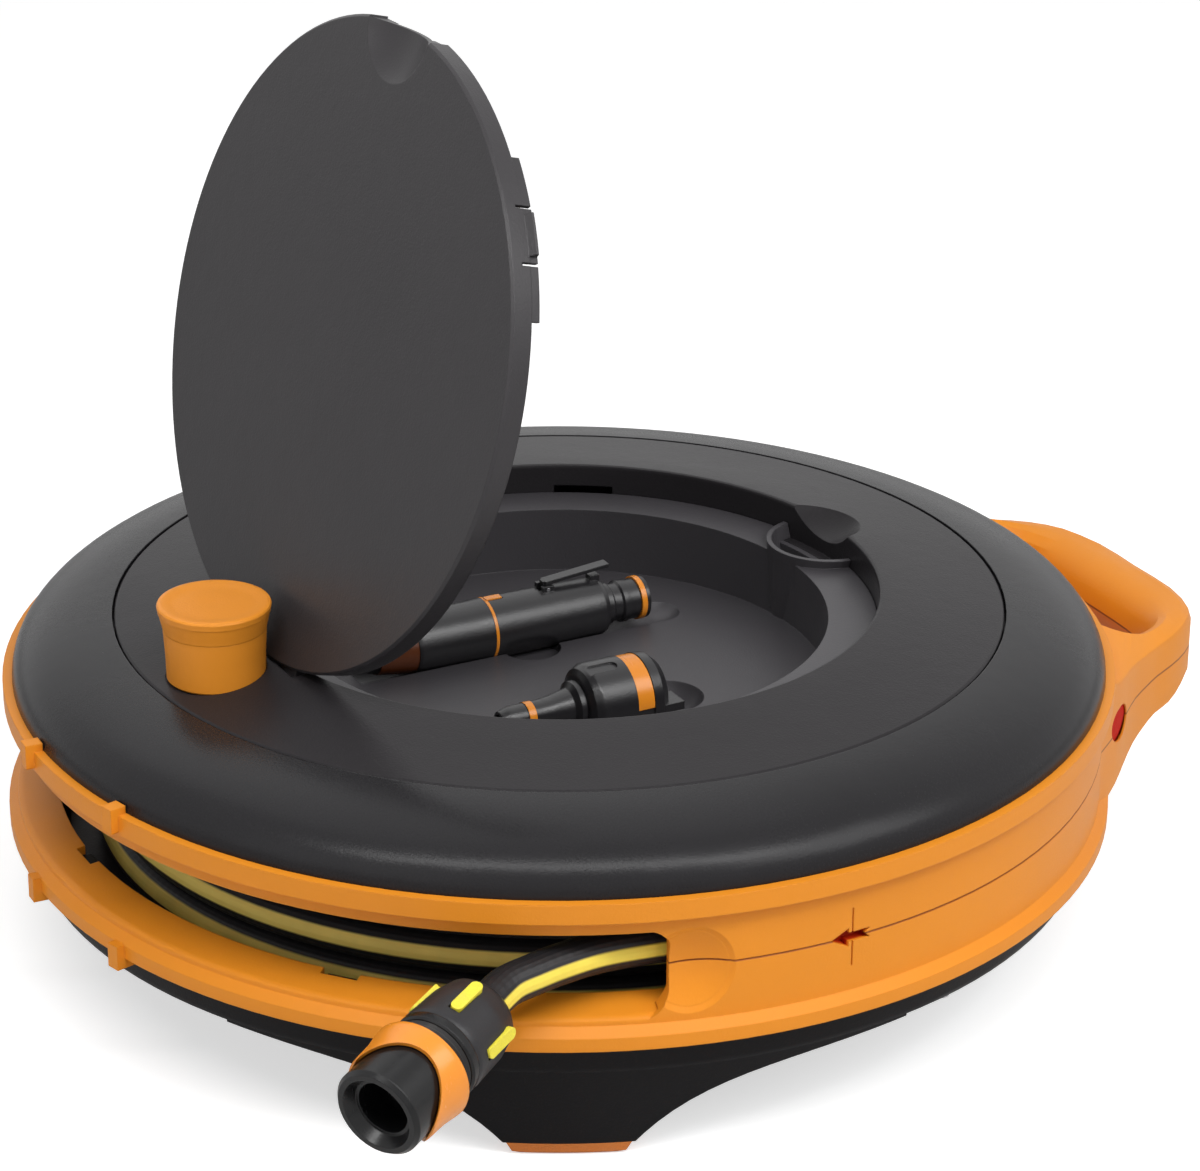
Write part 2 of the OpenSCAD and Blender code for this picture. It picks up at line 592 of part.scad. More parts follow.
// Drum: spool, upper flange, hose and its inner end
module drum_spool() color(black) at_axis() difference() {
    union() {
        ring(bush_r, flange_r, spool_z, flange_z);
        ring(bush_r, hub_r, spool_z, hub_top);
        ring(barrel_r - wall, barrel_r, spool_z, upper_z);
        ring(neck_r - wall, neck_r, spool_z, spool_top - 1);
        ring(neck_r - 1, barrel_r - wall + 1, spool_z, upper_z - 6);
        for (a = disc_post_az) az(a) {
            translate([hub_r - 1, -wall / 2, flange_z - 1]) cube([neck_r - hub_r - 1, wall, 9]);
            translate([neck_r - 7, 0, 0]) disc(6, spool_z, spool_top);
        }
    }
    for (a = disc_post_az) az(a) translate([neck_r - 7, 0, 0]) {
        disc(2 + fit, spool_z - 1, spool_top + 1);
        disc(4.5, spool_z - 1, spool_z + 6);
    }
    translate([0, 0, port_z]) rotate([0, 90, 0]) cylinder(r = 7, h = hub_r + 5);
    lead_window();
}
module lead_window() sector(-54, -18) translate([neck_r - wall - 1, port_z - 12])
    square([barrel_r - neck_r + wall + 2, 24]);
module hub_bush() color([0.85, 0.85, 0.82]) at_axis() difference() {
    ring(spindle_r + run, bush_r, spool_z, hub_top);
    translate([0, 0, port_z]) rotate([0, 90, 0]) cylinder(r = 4, h = hub_r);
}
module outlet_elbow() color(dark) at_axis() translate([0, 0, port_z]) rotate([0, 90, 0]) difference() {
    union() {
        translate([0, 0, bush_r + 0.4]) cylinder(r = 7, h = 14);
        translate([0, 0, hub_r]) cylinder(r = 10, h = 8);
        translate([0, 0, hub_r + 8]) cylinder(r = hose_d / 2 - 3, h = lead[0][0] + 16 - hub_r - 8);
    }
    cylinder(r = 4, h = 90);
}
module hose_clamp() color(steel) at_axis() translate([0, 0, port_z]) difference() {
    union() {
        rotate([0, 90, 0]) translate([0, 0, lead[0][0] + 3]) cylinder(r = hose_d / 2 + 1.5, h = 9);
        translate([lead[0][0] + 3, -4, hose_d / 2]) cube([9, 8, 6]);
    }
    rotate([0, 90, 0]) cylinder(r = hose_d / 2 + fit, h = 90);
}
module hose_lead() color(dark) at_axis() difference() {
    intersection() {
        skin(tube_rings(spline(concat([for (x = [0, 12, 20]) [lead[0][0] + x, 0, port_z]],
            [for (i = [2:5]) [lead[i][0], lead[i][1], port_z]]), 4), hose_d / 2, 10));
        disc(barrel_r, port_z - hose_d, port_z + hose_d);
    }
    translate([0, 0, port_z]) rotate([0, 90, 0]) cylinder(r = hose_d / 2 - 3 + run, h = lead[0][0] + 16);
}
module hose_core() color(dark) at_axis()
    ring(barrel_r, (wind_r - hose_d / 2 * cos(30)) * cos(7.5) - fit, flange_z, upper_z);

// The outer layer of hose: flat turns that climb one pitch in a short stretch
climb = 0.12;
climb_at = 100;
function ease(t) = t * t * (3 - 2 * t);
function wind_point(i) = let (
        k = floor(i / 24 + 0.001),
        f = i / 24 - k,
        z = wind_z + pitch * (k + (f > 1 - climb && k < turns - 1 ? ease((f - 1 + climb) / climb) : 0)),
        a = climb_at + 15 * i)
    [wind_r * cos(a), wind_r * sin(a), z];
winding = [for (i = [0:floor(24 * (turns - climb))]) wind_point(i)];
echo(least_gap_between_turns = min([for (i = [0:len(winding) - 25]) norm(winding[i + 24] - winding[i])]) - hose_d);
module hose_winding() color(dark) at_axis() skin(tube_rings(winding, hose_d / 2, 6));
module upper_flange() color(black) at_axis() ring(barrel_r - wall, flange_r, upper_z, skirt_z);

// Crank disc with the well's wall, the hinge block and the knob's seat
module crank_disc() color(black) at_axis() difference() {
    union() {
        rotate_extrude() polygon([[well_r - 5, disc_shelf_z - wall], [well_r + wall, disc_shelf_z - wall],
            [well_r + wall, disc_top(well_r + wall) - wall], [barrel_r - wall, disc_top(barrel_r - wall) - wall],
            [barrel_r - wall, skirt_z], [barrel_r, skirt_z], [barrel_r, disc_top(barrel_r) - wall],
            [disc_r - 3, disc_top(disc_r - 3) - wall], [disc_r - 3, cover_z - 5.5], [disc_r, cover_z - 5.5],
            [disc_r, cover_z - 0.7], [disc_r - 1, disc_top(disc_r - 1)], [well_r + 2, disc_top(well_r + 2)],
            [well_r + 0.7, disc_z - 0.7], [well_r, disc_z - 2], [well_r, disc_shelf_z], [well_r - 5, disc_shelf_z]]);
        intersection() {
            translate([-block_half, -well_r - 9.4, disc_shelf_z - wall])
                cube([2 * block_half, 30, disc_z - disc_shelf_z - 1]);
            difference() {
                disc(barrel_r, 0, disc_z);
                disc(well_r, 0, disc_z + 1);
            }
        }
        intersection() {
            union() {
                translate([0, -knob_arm, 0]) disc(knob_foot_r + 3, knob_seat_z - wall, disc_z);
                translate([0, -knob_arm, 0]) disc(9, knob_seat_z - 14, disc_z);
            }
            rotate_extrude() polygon([[well_r + 5, 0], [disc_r - 1, 0], [disc_r - 1, disc_top(disc_r - 1)],
                [well_r + 5, disc_top(well_r + 5)]]);
        }
        for (a = disc_post_az) az(a) translate([neck_r - 7, 0, 0])
            disc(6, spool_top, disc_top(neck_r - 7) - 1);
        intersection() {
            scoop_shell();
            disc(barrel_r - 1, spool_top, disc_z);
            translate([0, 0, 0]) disc(barrel_r, 0, disc_top(well_r + 19));
        }
    }
    translate([0, -knob_arm, 0]) disc(knob_foot_r + 0.5, knob_seat_z, disc_z + 5);
    translate([0, -knob_arm, 0]) disc(axle_r, knob_seat_z - 20, disc_z);
    hinge_notch();
    translate([-pin_half, -hinge_r, hinge_z]) rotate([0, 90, 0]) cylinder(r = pin_r, h = 2 * pin_half);
    for (a = tab_az) az(a) translate([well_r - 4, -15, ledge_z - 1.3]) cube([12, 30, 5]);
    for (a = disc_post_az) az(a) translate([neck_r - 7, 0, 0]) disc(1.8, spool_top - 1, disc_z - 7);
    translate([0, well_r - 5, disc_z + 21]) sphere(r = scoop_in);
}
scoop_in = 32;
module scoop_shell() intersection() {
    translate([0, well_r - 5, disc_z + 21]) sphere(r = scoop_in + wall);
    disc(well_r + 30, spool_top + 2, disc_z);
    difference() {
        disc(barrel_r - 1, 0, disc_z);
        disc(well_r, 0, disc_z + 1);
    }
}
// Room for the lid's lower edge and its two knuckles
module hinge_notch() {
    translate([-30, 0, 0]) rotate([90, 0, 90]) linear_extrude(height = 60)
        polygon([[-hinge_r - 6.2, disc_z + 2], [-hinge_r - 6.2, hinge_z + 5.4], [-hinge_r + 2, hinge_z + 3],
            [-hinge_r + 6, hinge_z + 3], [-hinge_r + 6, disc_z + 2]]);
    for (s = [-1, 1]) translate([s * (knuckle_x[0] + knuckle_x[1]) / 2, -hinge_r, 0]) {
        w = knuckle_x[1] - knuckle_x[0] + 1;
        translate([-w / 2, -knuckle_r - 0.8, hinge_z - knuckle_r - 0.8]) cube([w, 14, 30]);
    }
}
module disc_screws() color(steel) at_axis() for (a = disc_post_az) az(a) translate([neck_r - 7, 0, spool_z + 2.5])
    screw(1.8, 4, 3.5, disc_shelf_z + 7 - spool_z - 2.5);
module hinge_pin() color(steel) at_axis() translate([-pin_half, -hinge_r, hinge_z]) rotate([0, 90, 0])
    cylinder(r = pin_r, h = 2 * pin_half);

// Tub: ledge, wall, floor with two troughs, and the finger pocket
module trough(at, turn, r, y0, y1) translate(at) rotate([-90, 0, turn]) {
    translate([0, 0, y0]) cylinder(r = r, h = y1 - y0);
    translate([0, 0, y1]) sphere(r = r - eps);
}
module troughs(grow) {
    trough(nozzle_at, nozzle_turn, nozzle_r + grow, -88, 78);
    trough(tap_at, tap_turn, tap_r + grow, -13, 38);
    trough(tap_at, tap_turn, 12 + grow, -55, -10);
}
module pocket(grow) hull() {
    translate([0, well_r + 3, ledge_z + 6 + (grow < 0 ? 1 : 0)]) cylinder(r = dent_r + 3.5 + grow, h = 0.1, $fn = 40);
    translate([-4, tub_r + 12, floor_z - 1]) cylinder(r = 13 + grow, h = 0.1, $fn = 32);
}
module storage_tub() color(black) at_axis() difference() {
    union() {
        ring(tub_r, well_r - fit, ledge_z - wall, ledge_z);
        ring(tub_r, tub_r + wall, floor_z - wall, ledge_z);
        disc(tub_r + wall, floor_z - wall, floor_z);
        intersection() {
            union() {
                troughs(3);
            }
            disc(tub_r, floor_z - 40, floor_z);
        }
        translate([nozzle_at[0] + 11, 4, 0]) disc(17, floor_z - 8, floor_z);
        intersection() {
            pocket(0);
            union() {
                disc(well_r - 5 - fit, floor_z, ledge_z);
                disc(well_r - fit, ledge_z - wall, ledge_z + 4.5);
            }
        }
    }
    troughs(fit / 2);
    translate([nozzle_at[0] + 11, 4, 0]) disc(14.5, floor_z - 5, floor_z + 5);
    intersection() {
        pocket(-2.5);
        union() {
            disc(well_r - 5 - fit - wall, floor_z + 1, ledge_z);
            disc(well_r, ledge_z - wall, ledge_z + 8);
        }
    }
}

// Lid, drawn shut and then turned open about its hinge
module lid_shut() difference() {
    union() {
        rotate_extrude() polygon([[0, lid_under], [lid_r - 2.5, lid_under], [lid_r - 2.5, disc_z - skirt_h],
            [lid_r, disc_z - skirt_h], [lid_r, disc_z - 1.2], [lid_r - 1.2, disc_z], [0, disc_z]]);
        intersection() {
            translate([0, lid_r, disc_z + dent_sphere - 9]) sphere(r = dent_sphere + 2.5);
            disc(lid_r - 1, disc_z - 14, lid_under + 1);
        }
        for (a = tab_az) sector(a - tab_half, a + tab_half) translate([lid_r - 2.3, disc_z - skirt_h - 4])
            square([2.1, skirt_h]);
        for (a = tab_az) sector(a - 3.6, a + 3.6) polygon([[lid_r - 1, disc_z - skirt_h - 4],
            [lid_r + 3.2, disc_z - skirt_h - 2.6], [lid_r + 3.2, disc_z - skirt_h - 1.8], [lid_r - 1, disc_z - skirt_h + 1]]);
        for (s = [-1, 1]) translate([s * (knuckle_x[0] + knuckle_x[1]) / 2, -hinge_r, hinge_z]) {
            w = knuckle_x[1] - knuckle_x[0];
            translate([-w / 2, 0, 0]) rotate([0, 90, 0]) cylinder(r = knuckle_r, h = w);
            translate([-w / 2, 0, -2.5]) cube([w, 9, 6.4]);
        }
    }
    translate([0, lid_r, disc_z + dent_sphere - 9]) sphere(r = dent_sphere);
    translate([-dent_r, lid_r - 3.4, disc_z - 20]) cube([2 * dent_r, 10, 30]);
    for (a = tab_az, s = [-5, 5]) az(a + s) translate([lid_r - 4, -0.7, disc_z - skirt_h - 5]) cube([8, 1.4, 9]);
    translate([-pin_half, -hinge_r, hinge_z]) rotate([0, 90, 0]) cylinder(r = pin_r + run, h = 2 * pin_half);
}
module lid() color(black) at_axis() translate([0, -hinge_r, hinge_z]) rotate([lid_open, 0, 0])
    translate([0, hinge_r, -hinge_z]) lid_shut();

// Crank knob, free to spin on its axle
module knob_axle() color(steel) at_axis() translate([0, -knob_arm, 0]) {
    disc(axle_r, knob_seat_z - 14, knob_z1 - 12);
    disc(7, knob_seat_z - 17, knob_seat_z - 14);
    disc(6.5, knob_z1 - 12, knob_z1 - 9);
}
module knob_body() color(orange) at_axis() translate([0, -knob_arm, 0]) difference() {
    rotate_extrude() polygon([[axle_r + run, knob_z0], [knob_foot_r - 1, knob_z0], [knob_foot_r, knob_z0 + 1],
        [knob_foot_r + 0.2, knob_z0 + 12], [knob_foot_r + 1, knob_z1 - rim_h - 8], [knob_r - 0.6, knob_z1 - rim_h],
        [knob_r - 2.5, knob_z1 - rim_h], [knob_r - 2.5, knob_z1 - 12.5], [axle_r + run, knob_z1 - 12.5]]);
    ring(axle_r + 4, knob_foot_r - 4, knob_z0 - 1, knob_z1 - 17);
}
module knob_cap() color(orange) at_axis() translate([0, -knob_arm, 0])
    rotate_extrude() polygon([[0, knob_z1 - rim_h], [knob_r - 4.5, knob_z1 - rim_h], [knob_r - 4.5, knob_z1 - 8.5],
        [knob_r - 2.8, knob_z1 - 8.5], [knob_r - 2.8, knob_z1 - rim_h], [knob_r - 0.4, knob_z1 - rim_h],
        [knob_r, knob_z1 - 1.2], [knob_r - 0.5, knob_z1 - 0.3], [knob_r - 1.4, knob_z1],
        [knob_r - 2.4, knob_z1], [knob_r - 8, knob_z1 - 0.8], [0, knob_z1 - 1.3]]);

// Hose tail and its quick connector
module hose_tail() color(dark) at_axis() skin(tube_rings(spline(tail, 3), hose_d / 2, 10));
module along_connector() at_axis() translate(tail[len(tail) - 1]) rotate([0, 90 + connector_dip, connector_az]) children();
groove_s = 33;
collar_s = groove_s + 6 + collar_travel;
collar_len = 23;
collar_step = 5;
rim_r = muzzle_r + 3.4;
module connector_nut() color(black) along_connector() difference() {
    rotate_extrude() polygon([[0, 0], [nut_r - 5, 0], [nut_r - 3, 2.5], [nut_r - 0.8, 12], [nut_r, groove_s - 3],
        [nut_r - 0.6, groove_s - 1], [0, groove_s - 1]]);
    translate([0, 0, 2]) cylinder(r = muzzle_r - 6, h = groove_s);
    translate([0, 0, -1]) cylinder(r = hose_d / 2 + fit, h = 1 + fit);
    for (a = [21:72:309]) rotate([0, 0, a]) translate([nut_r - 1.9, -2.9, 6]) cube([4, 5.8, 19.6]);
}
module nut_grips() color(yellow) along_connector() for (a = [21:72:309]) rotate([0, 0, a])
    translate([nut_r - 1.9, 0, 6]) {
        translate([0, -2.7, 2.7]) cube([2.6, 5.4, 14.2]);
        for (z = [2.7, 16.9]) translate([0, 0, z]) rotate([0, 90, 0]) cylinder(r = 2.7, h = 2.6);
    }
module connector_body() color(black) along_connector() difference() {
    rotate_extrude() polygon([[0, 2], [muzzle_r - 6, 2], [muzzle_r - 6, groove_s - 1], [nut_r - 0.4, groove_s - 1],
        [nut_r, groove_s], [nut_r, groove_s + 3], [nut_r - 1, groove_s + 4], [muzzle_r - 3.4, groove_s + 4],
        [muzzle_r - 3.4, collar_s + collar_step + fit], [muzzle_r - 0.2, collar_s + collar_step + fit],
        [muzzle_r, connector_len - 2], [muzzle_r - 1.6, connector_len], [0, connector_len]]);
    translate([0, 0, 1]) cylinder(r = 6, h = connector_len);
    translate([0, 0, 44]) cylinder(r = 8.6, h = connector_len);
    translate([0, 0, connector_len - 22]) cylinder(r = 12, h = 30);
    translate([0, 0, connector_len - 5]) cylinder(r1 = 13.5, r2 = 16.5, h = 5.2);
}
module connector_seal() color(dark) along_connector() translate([0, 0, 44]) difference() {
    cylinder(r = 8.6, h = 3);
    translate([0, 0, -1]) cylinder(r = 6.2, h = 5);
}
module collar_spring() color(dark) along_connector() translate([0, 0, groove_s + 4])
    difference() {
        cylinder(r = nut_r - 0.9, h = collar_travel + 1.9);
        translate([0, 0, -1]) cylinder(r = muzzle_r - 3.3, h = collar_travel + 4);
    }
module release_collar() color(orange) along_connector() difference() {
    rotate_extrude() polygon([[muzzle_r - 3.3, collar_s], [rim_r - 1.4, collar_s], [rim_r - 0.4, collar_s + 0.6],
        [rim_r, collar_s + 1.8], [rim_r - 0.3, collar_s + 4.5], [muzzle_r + 2.1, collar_s + 11],
        [muzzle_r + 1.7, collar_s + collar_len - 1], [muzzle_r + 1.2, collar_s + collar_len],
        [muzzle_r + fit, collar_s + collar_len], [muzzle_r + fit, collar_s + collar_step],
        [muzzle_r - 3.3, collar_s + collar_step]]);
    rotate([0, 0, 152]) translate([0, 0, collar_s + collar_len + 11]) rotate([0, 90, 0])
        cylinder(r = 23.4, h = 60, center = true);
}

// Spray nozzle and tap connector, lying in their troughs along Y
module along_y(at, turn) at_axis() translate(at) rotate([-90, 0, turn]) children();
module tube_at(y0, y1, r) translate([0, 0, y0]) cylinder(r = r, h = y1 - y0);
module nozzle_barrel() color(black) along_y(nozzle_at, nozzle_turn) difference() {
    union() {
        rotate_extrude() polygon([[0, -16], [nozzle_r, -16], [nozzle_r - 0.6, 43], [nozzle_r - 2, 46], [10.5, 46.4],
            [10.5, 50], [9.4, 51], [9.4, 55], [10.5, 56], [10.5, 59], [10, 60], [10, 65], [8, 65], [8, 68],
            [10.6, 68], [10.6, 70], [0, 70]]);
        for (x = [-4.6, 2.2]) translate([x, -nozzle_r - 1.8, lever_y - 3]) cube([2.4, 5, 6]);
        translate([-2.5, -nozzle_r - 2, 40]) cube([5, 6, 5]);
    }
    tube_at(-20, 80, 5);
    translate([-8, -nozzle_r - 0.2, lever_y]) rotate([0, 90, 0]) cylinder(r = 1, h = 16);
    translate([-2.2, -nozzle_r - 4, lever_y - 4]) cube([4.4, 6.4, 8.6]);
    tube_at(-17, -8, 8 + run);
    translate([-2.2, -nozzle_r - 1, -17]) cube([4.4, 2.4, 9.4]);
}
module nozzle_ring() color(orange) along_y(nozzle_at, nozzle_turn) difference() {
    union() {
        tube_at(-17.6, -16, nozzle_r);
        translate([-2, -nozzle_r - 0.4, -16.6]) cube([4, 1.6, 8.4]);
    }
    tube_at(-19, -7, 8 + run);
}
module nozzle_head() color(black) along_y(nozzle_at, nozzle_turn) difference() {
    union() {
        rotate_extrude() polygon([[0, -17.7], [nozzle_r, -17.7], [nozzle_r - 0.3, -24], [nozzle_r - 0.6, -56], [nozzle_r - 1.2, -58], [0, -58]]);
        tube_at(-17.8, -9, 8);
    }
    tube_at(-68, 0, 5);
    tube_at(-68, -53, 7.2);
}
module nozzle_collar() color([0.45, 0.2, 0.06]) along_y(nozzle_at, nozzle_turn) difference() {
    union() {
        tube_at(-60, -53, 7.2);
        translate([0, 0, -77]) cylinder(r1 = 11.6, r2 = 14, h = 19);
    }
    tube_at(-80, -50, 4.4);
}
module nozzle_tip() color(dark) along_y(nozzle_at, nozzle_turn) difference() {
    translate([0, 0, -83]) cylinder(r1 = 9.4, r2 = 10.8, h = 6);
    tube_at(-90, -70, 3);
}
module nozzle_lever() color(black) along_y(nozzle_at, nozzle_turn) translate([0, -nozzle_r - 0.2, lever_y])
    rotate([lever_tilt, 0, 0]) difference() {
        union() {
            translate([-1.9, 0, 0]) rotate([0, 90, 0]) cylinder(r = 1.8, h = 3.8);
            translate([-1.9, -3.7, -1.5]) cube([3.8, 3.7, 3]);
            translate([-3, -3.7, -0.5]) cube([6, 1.8, 35]);
        }
        translate([-4, 0, 0]) rotate([0, 90, 0]) cylinder(r = 1 + run, h = 8);
    }
module lever_pin() color(steel) along_y(nozzle_at, nozzle_turn) translate([-4.6, -nozzle_r - 0.2, lever_y])
    rotate([0, 90, 0]) cylinder(r = 1, h = 9.2);
module nozzle_neck_ring() color(orange) along_y(nozzle_at, nozzle_turn) difference() {
    tube_at(65.1, 67.9, 10.9);
    tube_at(60, 70, 8);
}
module tap_body() color(black) along_y(tap_at, tap_turn) difference() {
    union() {
        rotate_extrude() polygon([[0, -10], [tap_r - 6, -10], [tap_r - 2, -8], [tap_r, -4], [tap_r, 13], [tap_r - 2, 13],
            [tap_r - 2, 22], [tap_r, 22], [tap_r - 0.6, 27], [tap_r - 4, 31], [tap_r - 9, 33], [0, 33]]);
        translate([1 - tap_r, 1, 4]) cube([2 * tap_r - 2, 4, 34]);
    }
    tube_at(4, 28, 13);
    tube_at(-11, 40, 5);
    tube_at(-11, -2, 10);
    rotate([0, 0, 12]) translate([0, -tap_r - 3, 0]) rotate([-90, 0, 0]) button(3, 6, 4);
}
module button(r, half, h) linear_extrude(height = h) {
    for (y = [-half, half]) translate([0, y]) circle(r = r);
    translate([-r, -half]) square([2 * r, 2 * half]);
}
module tap_band() color(orange) along_y(tap_at, tap_turn) difference() {
    tube_at(13.2, 21.8, tap_r - 0.4);
    tube_at(10, 30, tap_r - 2);
    translate([-40, 1 - fit, 0]) cube([80, 40, 40]);
}
module tap_nose() color(black) along_y(tap_at, tap_turn) difference() {
    rotate_extrude() polygon([[0, -2], [10, -2], [10, -10.1], [12, -10.2], [12, -13], [9, -15], [7.2, -24], [6.6, -30],
        [6.6, -34], [5.6, -34], [5.6, -38], [6.6, -38], [6.4, -46], [5, -51], [0, -51]]);
    tube_at(-55, 0, 3.6);
}
module tap_nose_ring() color(orange) along_y(tap_at, tap_turn) difference() {
    tube_at(-37.9, -34.1, 6.9);
    tube_at(-40, -20, 5.6);
}

base_shell();
foot_pad_1();
foot_pad_2();
foot_pad_3();
frame_lower();
frame_upper();
cover_ring();
tie_screws();
handle_screws();
hub_spindle();
spindle_screws();
hub_seals();
retaining_ring();
glide_ring();
inlet_elbow();
inlet_pipe();
pipe_clips();
inlet_nipple();
nipple_seal();
drum_spool();
hub_bush();
outlet_elbow();
hose_clamp();
hose_lead();
hose_core();
hose_winding();
upper_flange();
crank_disc();
disc_screws();
storage_tub();
hinge_pin();
lid();
knob_axle();
knob_body();
knob_cap();
hose_tail();
connector_nut();
nut_grips();
connector_body();
connector_seal();
collar_spring();
release_collar();
nozzle_barrel();
nozzle_ring();
nozzle_head();
nozzle_collar();
nozzle_tip();
nozzle_lever();
lever_pin();
nozzle_neck_ring();
tap_body();
tap_band();
tap_nose();
tap_nose_ring();
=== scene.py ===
# %% [markdown]
# # Garden hose reel
# A closed garden hose reel: a hose drum turns between an orange ring frame and a black base, and is
# cranked by the orange knob on its top disc. The disc holds a storage well whose lid stands open.
# Lengths are metres in the frame of the construction model, with the floor at z = 0.

# %% Load the construction model
import json
import math
import bpy
from mathutils import Matrix, Vector

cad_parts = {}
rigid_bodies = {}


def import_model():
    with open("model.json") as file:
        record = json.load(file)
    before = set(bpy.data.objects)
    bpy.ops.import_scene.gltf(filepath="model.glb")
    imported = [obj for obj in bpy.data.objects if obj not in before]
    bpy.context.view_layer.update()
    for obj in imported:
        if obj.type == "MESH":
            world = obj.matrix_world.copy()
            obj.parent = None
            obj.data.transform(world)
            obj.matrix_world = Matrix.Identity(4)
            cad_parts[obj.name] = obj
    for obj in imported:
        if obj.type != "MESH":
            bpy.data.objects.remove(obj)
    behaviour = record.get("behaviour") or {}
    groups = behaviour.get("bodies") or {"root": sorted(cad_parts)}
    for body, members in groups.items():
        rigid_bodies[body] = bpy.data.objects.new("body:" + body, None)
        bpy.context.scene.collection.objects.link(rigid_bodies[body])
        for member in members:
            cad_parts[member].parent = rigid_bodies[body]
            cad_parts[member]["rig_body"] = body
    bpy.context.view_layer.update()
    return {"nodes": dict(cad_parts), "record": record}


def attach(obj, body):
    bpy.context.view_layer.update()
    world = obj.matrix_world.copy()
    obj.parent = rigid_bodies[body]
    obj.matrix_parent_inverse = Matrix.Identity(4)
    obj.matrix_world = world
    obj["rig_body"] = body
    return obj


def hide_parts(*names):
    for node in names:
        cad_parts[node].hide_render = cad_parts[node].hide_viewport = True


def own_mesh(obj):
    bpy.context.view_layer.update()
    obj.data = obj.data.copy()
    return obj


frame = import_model()
AXIS_Y = -0.0332526  # the drum's axis stands at x = 0, y = AXIS_Y
MM = 0.001

# %% [markdown]
# ## The camera
# The photograph was taken from in front and above with a long lens, so the ellipses of the ring are
# nearly free of perspective. Place, turn and focal length were solved from the ring's two lips, the
# feet and the knob, and are kept as numbers: a camera that is aimed by eye never lines up again.

# %% Camera
PHOTO_WIDTH, FOCAL_LENGTH = 1200, 4087.05  # both in pixels of the photograph
SENSOR_WIDTH = 36  # millimetres

bpy.ops.object.select_all(action="DESELECT")
bpy.ops.object.camera_add(
    location=(1.53113909, -0.95325378, 0.93327),
    rotation=[math.radians(a) for a in (66.73334707, -0.25962748, 58.49658364)])
camera = bpy.context.object
camera.name = "photo_camera"
camera.data.sensor_fit = "HORIZONTAL"
camera.data.sensor_width = SENSOR_WIDTH
camera.data.lens = FOCAL_LENGTH / PHOTO_WIDTH * SENSOR_WIDTH
bpy.context.scene.camera = camera
print("camera with a lens of", round(camera.data.lens, 1), "mm at", list(camera.location))

# %% [markdown]
# ## Shader maths as expressions
# A procedural finish is mostly sums: a bit more of this noise, a bit less in that place. Wrapping a
# socket in a small class lets those sums be written as Python, and each operator adds one Math node.
# The range of a value is set by one more method, step, which makes soft-edged masks.

# %% Expressions on sockets
class Value:
    """A number that varies over a surface."""

    def __init__(self, finish, socket):
        self.finish = finish
        self.socket = socket

    def calc(self, operation, first, second=0.0):
        return self.finish.node("ShaderNodeMath", {"operation": operation}, {0: first, 1: second})

    def __add__(self, other):
        return self.calc("ADD", self, other)

    def __sub__(self, other):
        return self.calc("SUBTRACT", self, other)

    def __mul__(self, other):
        return self.calc("MULTIPLY", self, other)

    def __truediv__(self, other):
        return self.calc("DIVIDE", self, other)

    def __pow__(self, other):
        return self.calc("POWER", self, other)

    def __rsub__(self, other):
        return self.calc("SUBTRACT", other, self)

    __radd__ = __add__

    def sin(self):
        return self.calc("SINE", self)

    def size(self):
        return self.calc("ABSOLUTE", self)

    def step(self, low, high):
        """0 below low, 1 above high, with a smooth passage between them."""
        return self.finish.node("ShaderNodeMapRange", {"interpolation_type": "SMOOTHSTEP"},
                                {"Value": self, "From Min": low, "From Max": high})


print("a Value can", ", ".join(name.strip("_") for name in vars(Value) if callable(vars(Value)[name])))

# %% [markdown]
# ## One material as an object
# A material in Blender is a tree of nodes that ends in one Principled shader. A small class keeps the
# tree and the shader together: node makes any node and links its inputs, and short methods give the
# few that come back all the time, such as a noise, a mix of two colours and a bump. Constant inputs
# stand on the shader's own sockets, so only what varies over the surface costs a link.

# %% Finishes as objects
class Finish:
    """A material built round one Principled shader."""

    def __init__(self, name, **constants):
        self.material = bpy.data.materials.new(name)
        self.material.use_nodes = True
        self.tree = self.material.node_tree
        self.shader = self.tree.nodes["Principled BSDF"]
        for socket, value in constants.items():
            self.shader.inputs[socket.replace("_", " ")].default_value = value

    def node(self, kind, settings=None, inputs=None, output=0):
        made = self.tree.nodes.new(kind)
        for name, value in (settings or {}).items():
            setattr(made, name, value)
        for name, value in (inputs or {}).items():
            if isinstance(value, Value):
                self.tree.links.new(value.socket, made.inputs[name])
            else:
                made.inputs[name].default_value = value
        return Value(self, made.outputs[output])

    def feed(self, socket, value):
        self.tree.links.new(value.socket, self.shader.inputs[socket])

    def place(self):
        return self.node("ShaderNodeTexCoord", output="Object")

    def part(self, vector, axis):
        return self.node("ShaderNodeSeparateXYZ", inputs={0: vector}, output=axis)

    def noise(self, vector, scale, detail=3.0, rough=0.5):
        return self.node("ShaderNodeTexNoise", inputs={"Vector": vector, "Scale": scale, "Detail": detail,
                                                       "Roughness": rough})

    def stretched(self, vector, scale, turn=(0, 0, 0)):
        return self.node("ShaderNodeMapping", inputs={"Vector": vector, "Scale": scale, "Rotation": turn})

    def mix(self, factor, first, second):
        """A colour between two colours."""
        return self.node("ShaderNodeMix", {"data_type": "RGBA"}, {0: factor, 6: first, 7: second}, output=2)

    def relief(self, height, depth, soften=0.0008):
        """Bump on top of edges that are rounded by soften."""
        rounded = self.node("ShaderNodeBevel", {"samples": 4}, {"Radius": soften})
        bump = self.node("ShaderNodeBump", inputs={"Strength": 1.0, "Distance": depth, "Height": height,
                                                   "Normal": rounded})
        self.feed("Normal", bump)


